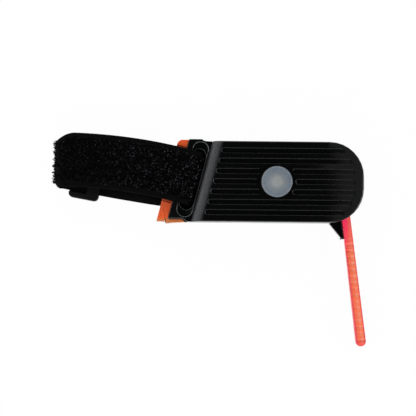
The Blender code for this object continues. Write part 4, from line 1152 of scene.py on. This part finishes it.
def socket_screw(x, y, low, neck, tip, head, shank):
    """A screw whose head lies low, with a six-sided socket in it."""
    shape = bmesh.new()
    socket = head * 0.5
    rings = [
        (True, socket, low + (neck - low) * 0.7), (True, socket, low),
        (False, head - 0.2 * MM, low), (False, head, low + 0.2 * MM), (False, head, neck),
        (False, shank, neck), (False, shank, tip - 0.4 * MM), (False, shank - 0.35 * MM, tip),
    ]
    loops = []
    for i, (six_sided, radius, height) in enumerate(rings):
        made = bmesh.ops.create_circle(
            shape, cap_ends=i in (0, len(rings) - 1), segments=24, radius=radius
        )
        for vert in made["verts"]:
            if six_sided:
                turn = math.atan2(vert.co.y, vert.co.x) % (math.tau / 6) - math.tau / 12
                vert.co *= math.cos(math.tau / 12) / math.cos(turn)
            vert.co += Vector((x, y, height))
        loops.append(list({edge for vert in made["verts"] for edge in vert.link_edges}))
    for one, two in zip(loops, loops[1:]):
        bmesh.ops.bridge_loops(shape, edges=one + two)
    bmesh.ops.recalc_face_normals(shape, faces=shape.faces[:])
    return shape


class TOURNIQUET_OT_underside(bpy.types.Operator):
    """Ease the skin plate and finish its fasteners"""

    bl_idname = "tourniquet.underside"
    bl_label = "Underside"

    def execute(self, context):
        shape = eased(merged_copy("skin_plate"), 0.25 * MM)
        even_shading(
            show("skin_pad", shape, pad_rubber(), ["skin_plate"], "housing")
        )
        for node in ("pawl_screw", "rocker_pin"):
            dress(node, steel())
        fasteners = [(f"skin_screw_{i}", 1.0 * MM, 1.0 * MM) for i in (1, 2, 3)]
        fasteners += [(f"cover_screw_{i}", 1.3 * MM, 1.0 * MM) for i in (1, 2, 3, 4)]
        fasteners.append(("reel_axle", 1.0 * MM, 2.5 * MM))
        for node, deep, shank in fasteners:
            low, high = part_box(node)
            middle = (low + high) / 2
            head = (high.x - low.x) / 2
            bolt = socket_screw(middle.x, middle.y, low.z, low.z + deep, high.z, head, shank)
            show(node + "_bolt", bolt, steel(), [node], "housing", 30)
        return {"FINISHED"}


def braided():
    """Pale cord with a braid along its own map."""
    made, tree, shader = blank("braided_cord")
    spot = add(tree, "ShaderNodeUVMap", uv_map="braid").outputs[0]
    checks = add(tree, "ShaderNodeTexWave", {"Vector": spot, "Scale": 6.0, "Distortion": 0.6},
                 bands_direction="DIAGONAL").outputs["Fac"]
    tree.links.new(
        mixed(tree, checks, (0.30, 0.28, 0.23, 1), (0.62, 0.60, 0.52, 1)),
        shader.inputs["Base Color"],
    )
    relief = add(tree, "ShaderNodeBump", {"Height": checks, "Strength": 0.7, "Distance": 0.1 * MM})
    tree.links.new(relief.outputs[0], shader.inputs["Normal"])
    plain(shader, {"Roughness": 0.85})
    return made


def round_section(radius, sides=10):
    """Closed circle as (across, out)."""
    turns = [math.tau * k / sides for k in range(sides)] + [0.0]
    return [(radius * math.cos(turn), radius * math.sin(turn)) for turn in turns]


def round_stations(route):
    """Stations for a round section that runs mostly level along a route."""
    stations = []
    length = 0.0
    for i, spot in enumerate(route):
        way = (route[min(len(route) - 1, i + 1)] - route[max(0, i - 1)]).normalized()
        across = way.cross(Vector((0, 0, 1))).normalized()
        if i:
            length += (spot - route[i - 1]).length
        stations.append((length, spot, across, across.cross(way)))
    return stations


class TOURNIQUET_OT_works(bpy.types.Operator):
    """Finish the reel, the carriage, the light and the springs inside"""

    bl_idname = "tourniquet.works"
    bl_label = "Works"

    def execute(self, context):
        for node in ("reel", "carriage", "cell_holder", "release_rocker"):
            dress(node, grey_nylon())
        for node in ("drive_ratchet", "coin_cell", "strap_bar", "cord_stop"):
            dress(node, steel())
        low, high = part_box("pawl_leaf")
        held = ((low.x + high.x) / 2, low.y + 5.2 * MM, high.z)
        lifted = (held[0], ROCKER_Y - 1.4 * MM, high.z)
        shape = cut_across(merged_copy("pawl_leaf"), held, lifted, 8)
        leaf = show("leaf_strip", shape, steel(), ["pawl_leaf"], None, 60)
        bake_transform(leaf, "housing", "rocker", start=held, end=lifted)
        dress("led_board", moulded("green_board", (0.02, 0.12, 0.05, 1), 0.4, marks=400.0))
        dress("led", moulded("pale_lens", (0.75, 0.72, 0.50, 1), 0.25, marks=500.0))

        held = Vector((ROD_X + 4.15 * MM, CORD_Y, CORD_Z))
        leaves = Vector((REEL_X - 2 * MM, CORD_Y, CORD_Z))
        route = [held.lerp(leaves, i / 30) for i in range(31)]
        for i in range(1, 73):
            gone = CORD_TURNS * i / 72
            turn = math.pi / 2 - math.tau * gone
            drop = CORD_Z - CORD_PITCH * gone
            route.append(Vector((REEL_X + CORD_Y * math.cos(turn), CORD_Y * math.sin(turn), drop)))
        rope = swept_band(round_stations(route), round_section(CORD_RADIUS), "braid")
        cord = show("cord_braid", rope, braided(), ["tension_cord"], None, 60)
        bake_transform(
            cord, "housing", "carriage", start=(REEL_X - CORD_Y - MM, CORD_Y, CORD_Z), end=tuple(held)
        )

        low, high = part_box("button_spring")
        wire = SPRING_WIRE
        reach = (high.x - low.x) / 2 - wire
        start, rise = low.z + wire, high.z - low.z - 2 * wire
        route = []
        for i in range(121):
            turn = math.tau * SPRING_TURNS * i / 120
            height = start + rise * i / 120
            route.append(Vector((reach * math.cos(turn), reach * math.sin(turn), height)))
        coil = swept_band(round_stations(route), round_section(wire, 8), "wire")
        spring = show("spring_coil", coil, steel(), ["button_spring"], "housing", 60)
        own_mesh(spring)
        return {"FINISHED"}


# Stage


def soft_lamp(name, spot, aim, size, power):
    """An area lamp that faces a point."""
    lamp = bpy.data.lights.new(name, "AREA")
    lamp.shape = "RECTANGLE"
    lamp.size, lamp.size_y = size
    lamp.energy = power
    item = bpy.data.objects.new(name, lamp)
    item.location = spot
    item.rotation_mode = "QUATERNION"
    item.rotation_quaternion = (Vector(aim) - Vector(spot)).to_track_quat("-Z", "Y")
    bpy.context.scene.collection.objects.link(item)
    return item


def seen_rays(tree):
    """One for rays that show the background, straight or through gloss and glass."""
    path = add(tree, "ShaderNodeLightPath")
    seen = add(
        tree, "ShaderNodeMath",
        {0: path.outputs["Is Camera Ray"], 1: path.outputs["Is Glossy Ray"]}, operation="MAXIMUM",
    )
    return add(
        tree, "ShaderNodeMath",
        {0: seen.outputs[0], 1: path.outputs["Is Transmission Ray"]}, operation="MAXIMUM",
    ).outputs[0]


class TOURNIQUET_OT_stage(bpy.types.Operator):
    """Set the floor, the lamps, the world and the camera"""

    bl_idname = "tourniquet.stage"
    bl_label = "Stage"

    def execute(self, context):
        scene = context.scene
        looks = scene.tourniquet_stage
        scene.view_settings.view_transform = "Standard"

        shape = bmesh.new()
        bmesh.ops.create_grid(shape, x_segments=8, y_segments=8, size=4.0)
        bmesh.ops.translate(shape, verts=shape.verts[:], vec=(0, 0, -0.3 * MM))
        mesh = bpy.data.meshes.new("floor")
        shape.to_mesh(mesh)
        shape.free()
        paper = bpy.data.materials.new("white_paper")
        paper.use_nodes = True
        tree = paper.node_tree
        shader = tree.nodes["Principled BSDF"]
        plain(shader, {"Base Color": (0.9, 0.9, 0.9, 1), "Roughness": 0.9})
        shader.inputs["Specular IOR Level"].default_value = 0.1
        white = add(tree, "ShaderNodeEmission", {"Color": (1, 1, 1, 1), "Strength": 1.0})
        mix = add(tree, "ShaderNodeMixShader", {0: times(tree, seen_rays(tree), 0.972)})
        tree.links.new(shader.outputs[0], mix.inputs[1])
        tree.links.new(white.outputs[0], mix.inputs[2])
        tree.links.new(mix.outputs[0], tree.nodes["Material Output"].inputs["Surface"])
        mesh.materials.append(paper)
        floor = bpy.data.objects.new("floor", mesh)
        scene.collection.objects.link(floor)

        world = bpy.data.worlds.new("studio")
        world.use_nodes = True
        scene.world = world
        tree = world.node_tree
        back = tree.nodes["Background"]
        way = add(tree, "ShaderNodeTexCoord").outputs["Generated"]
        rise = add(tree, "ShaderNodeSeparateXYZ", {0: way}).outputs[2]
        dim = ranged(tree, rise, 0.15, 0.8, 0.75, 0.0)
        path = add(tree, "ShaderNodeLightPath")
        level = add(
            tree, "ShaderNodeMath", {0: dim, 1: path.outputs["Is Camera Ray"]}, operation="MAXIMUM"
        )
        tree.links.new(level.outputs[0], back.inputs["Strength"])
        back.inputs["Color"].default_value = (1, 1, 1, 1)

        power = looks.lamp_power
        body = (-0.03, 0.0, 0.02)
        soft_lamp("lamp_left", (-0.70, 0.03, 0.40), body, (0.7, 0.55), power * 1.3)
        soft_lamp("lamp_over", (-0.52, 0.02, 0.85), (-0.52, 0.02, 0.0), (0.66, 1.0), power * 1.3)
        soft_lamp("lamp_near", (-0.04, -0.66, 0.52), body, (0.9, 0.5), power * 2.0)
        soft_lamp("lamp_far", (-0.04, 0.72, 0.42), body, (0.9, 0.45), power * 1.5)
        soft_lamp("lamp_right", (0.525, 0.02, 0.85), (0.525, 0.02, 0.0), (0.6, 0.8), power * 0.24)
        soft_lamp("lamp_low", (0.80, -0.12, 0.32), body, (0.5, 0.3), power * 1.5)

        pixel = looks.view_width / 416
        aim = Vector(((208 - 276.8) * pixel, (180.9 - 208) * pixel, 0.0245))
        back = Vector((0, -math.cos(looks.elevation), math.sin(looks.elevation)))
        camera = bpy.data.cameras.new("camera")
        camera.angle = 2 * math.atan(looks.view_width / 2 / looks.distance)
        eye = bpy.data.objects.new("camera", camera)
        eye.location = aim + back * looks.distance
        eye.rotation_mode = "QUATERNION"
        turn = Quaternion((0, 0, 1), looks.roll)
        eye.rotation_quaternion = (-back).to_track_quat("-Z", "Y") @ turn
        scene.collection.objects.link(eye)
        scene.camera = eye
        return {"FINISHED"}


class TOURNIQUET_PT_looks(bpy.types.Panel):
    """Sizes, colours and steps of the tourniquet"""

    bl_idname = "TOURNIQUET_PT_looks"
    bl_label = "Tourniquet"
    bl_space_type = "VIEW_3D"
    bl_region_type = "UI"
    bl_category = "Tourniquet"

    def draw(self, context):
        scene = context.scene
        for group in (scene.tourniquet_strap, scene.tourniquet_colours, scene.tourniquet_stage):
            box = self.layout.box()
            for name in group.__annotations__:
                box.prop(group, name)
        for step in STEPS:
            self.layout.operator(f"tourniquet.{step}")


STEPS = ("body", "guide", "button", "strap", "keeper", "lever", "underside", "works", "stage")
CLASSES = (
    StrapLooks,
    FinishColours,
    StageLooks,
    TOURNIQUET_OT_body,
    TOURNIQUET_OT_guide,
    TOURNIQUET_OT_button,
    TOURNIQUET_OT_strap,
    TOURNIQUET_OT_keeper,
    TOURNIQUET_OT_lever,
    TOURNIQUET_OT_underside,
    TOURNIQUET_OT_works,
    TOURNIQUET_OT_stage,
    TOURNIQUET_PT_looks,
)


def register():
    for item in CLASSES:
        bpy.utils.register_class(item)
    bpy.types.Scene.tourniquet_strap = PointerProperty(type=StrapLooks)
    bpy.types.Scene.tourniquet_colours = PointerProperty(type=FinishColours)
    bpy.types.Scene.tourniquet_stage = PointerProperty(type=StageLooks)


def unregister():
    del bpy.types.Scene.tourniquet_stage
    del bpy.types.Scene.tourniquet_colours
    del bpy.types.Scene.tourniquet_strap
    for item in reversed(CLASSES):
        bpy.utils.unregister_class(item)


def main():
    register()
    for step in STEPS:
        getattr(bpy.ops.tourniquet, step)()


if __name__ == "__main__":
    main()
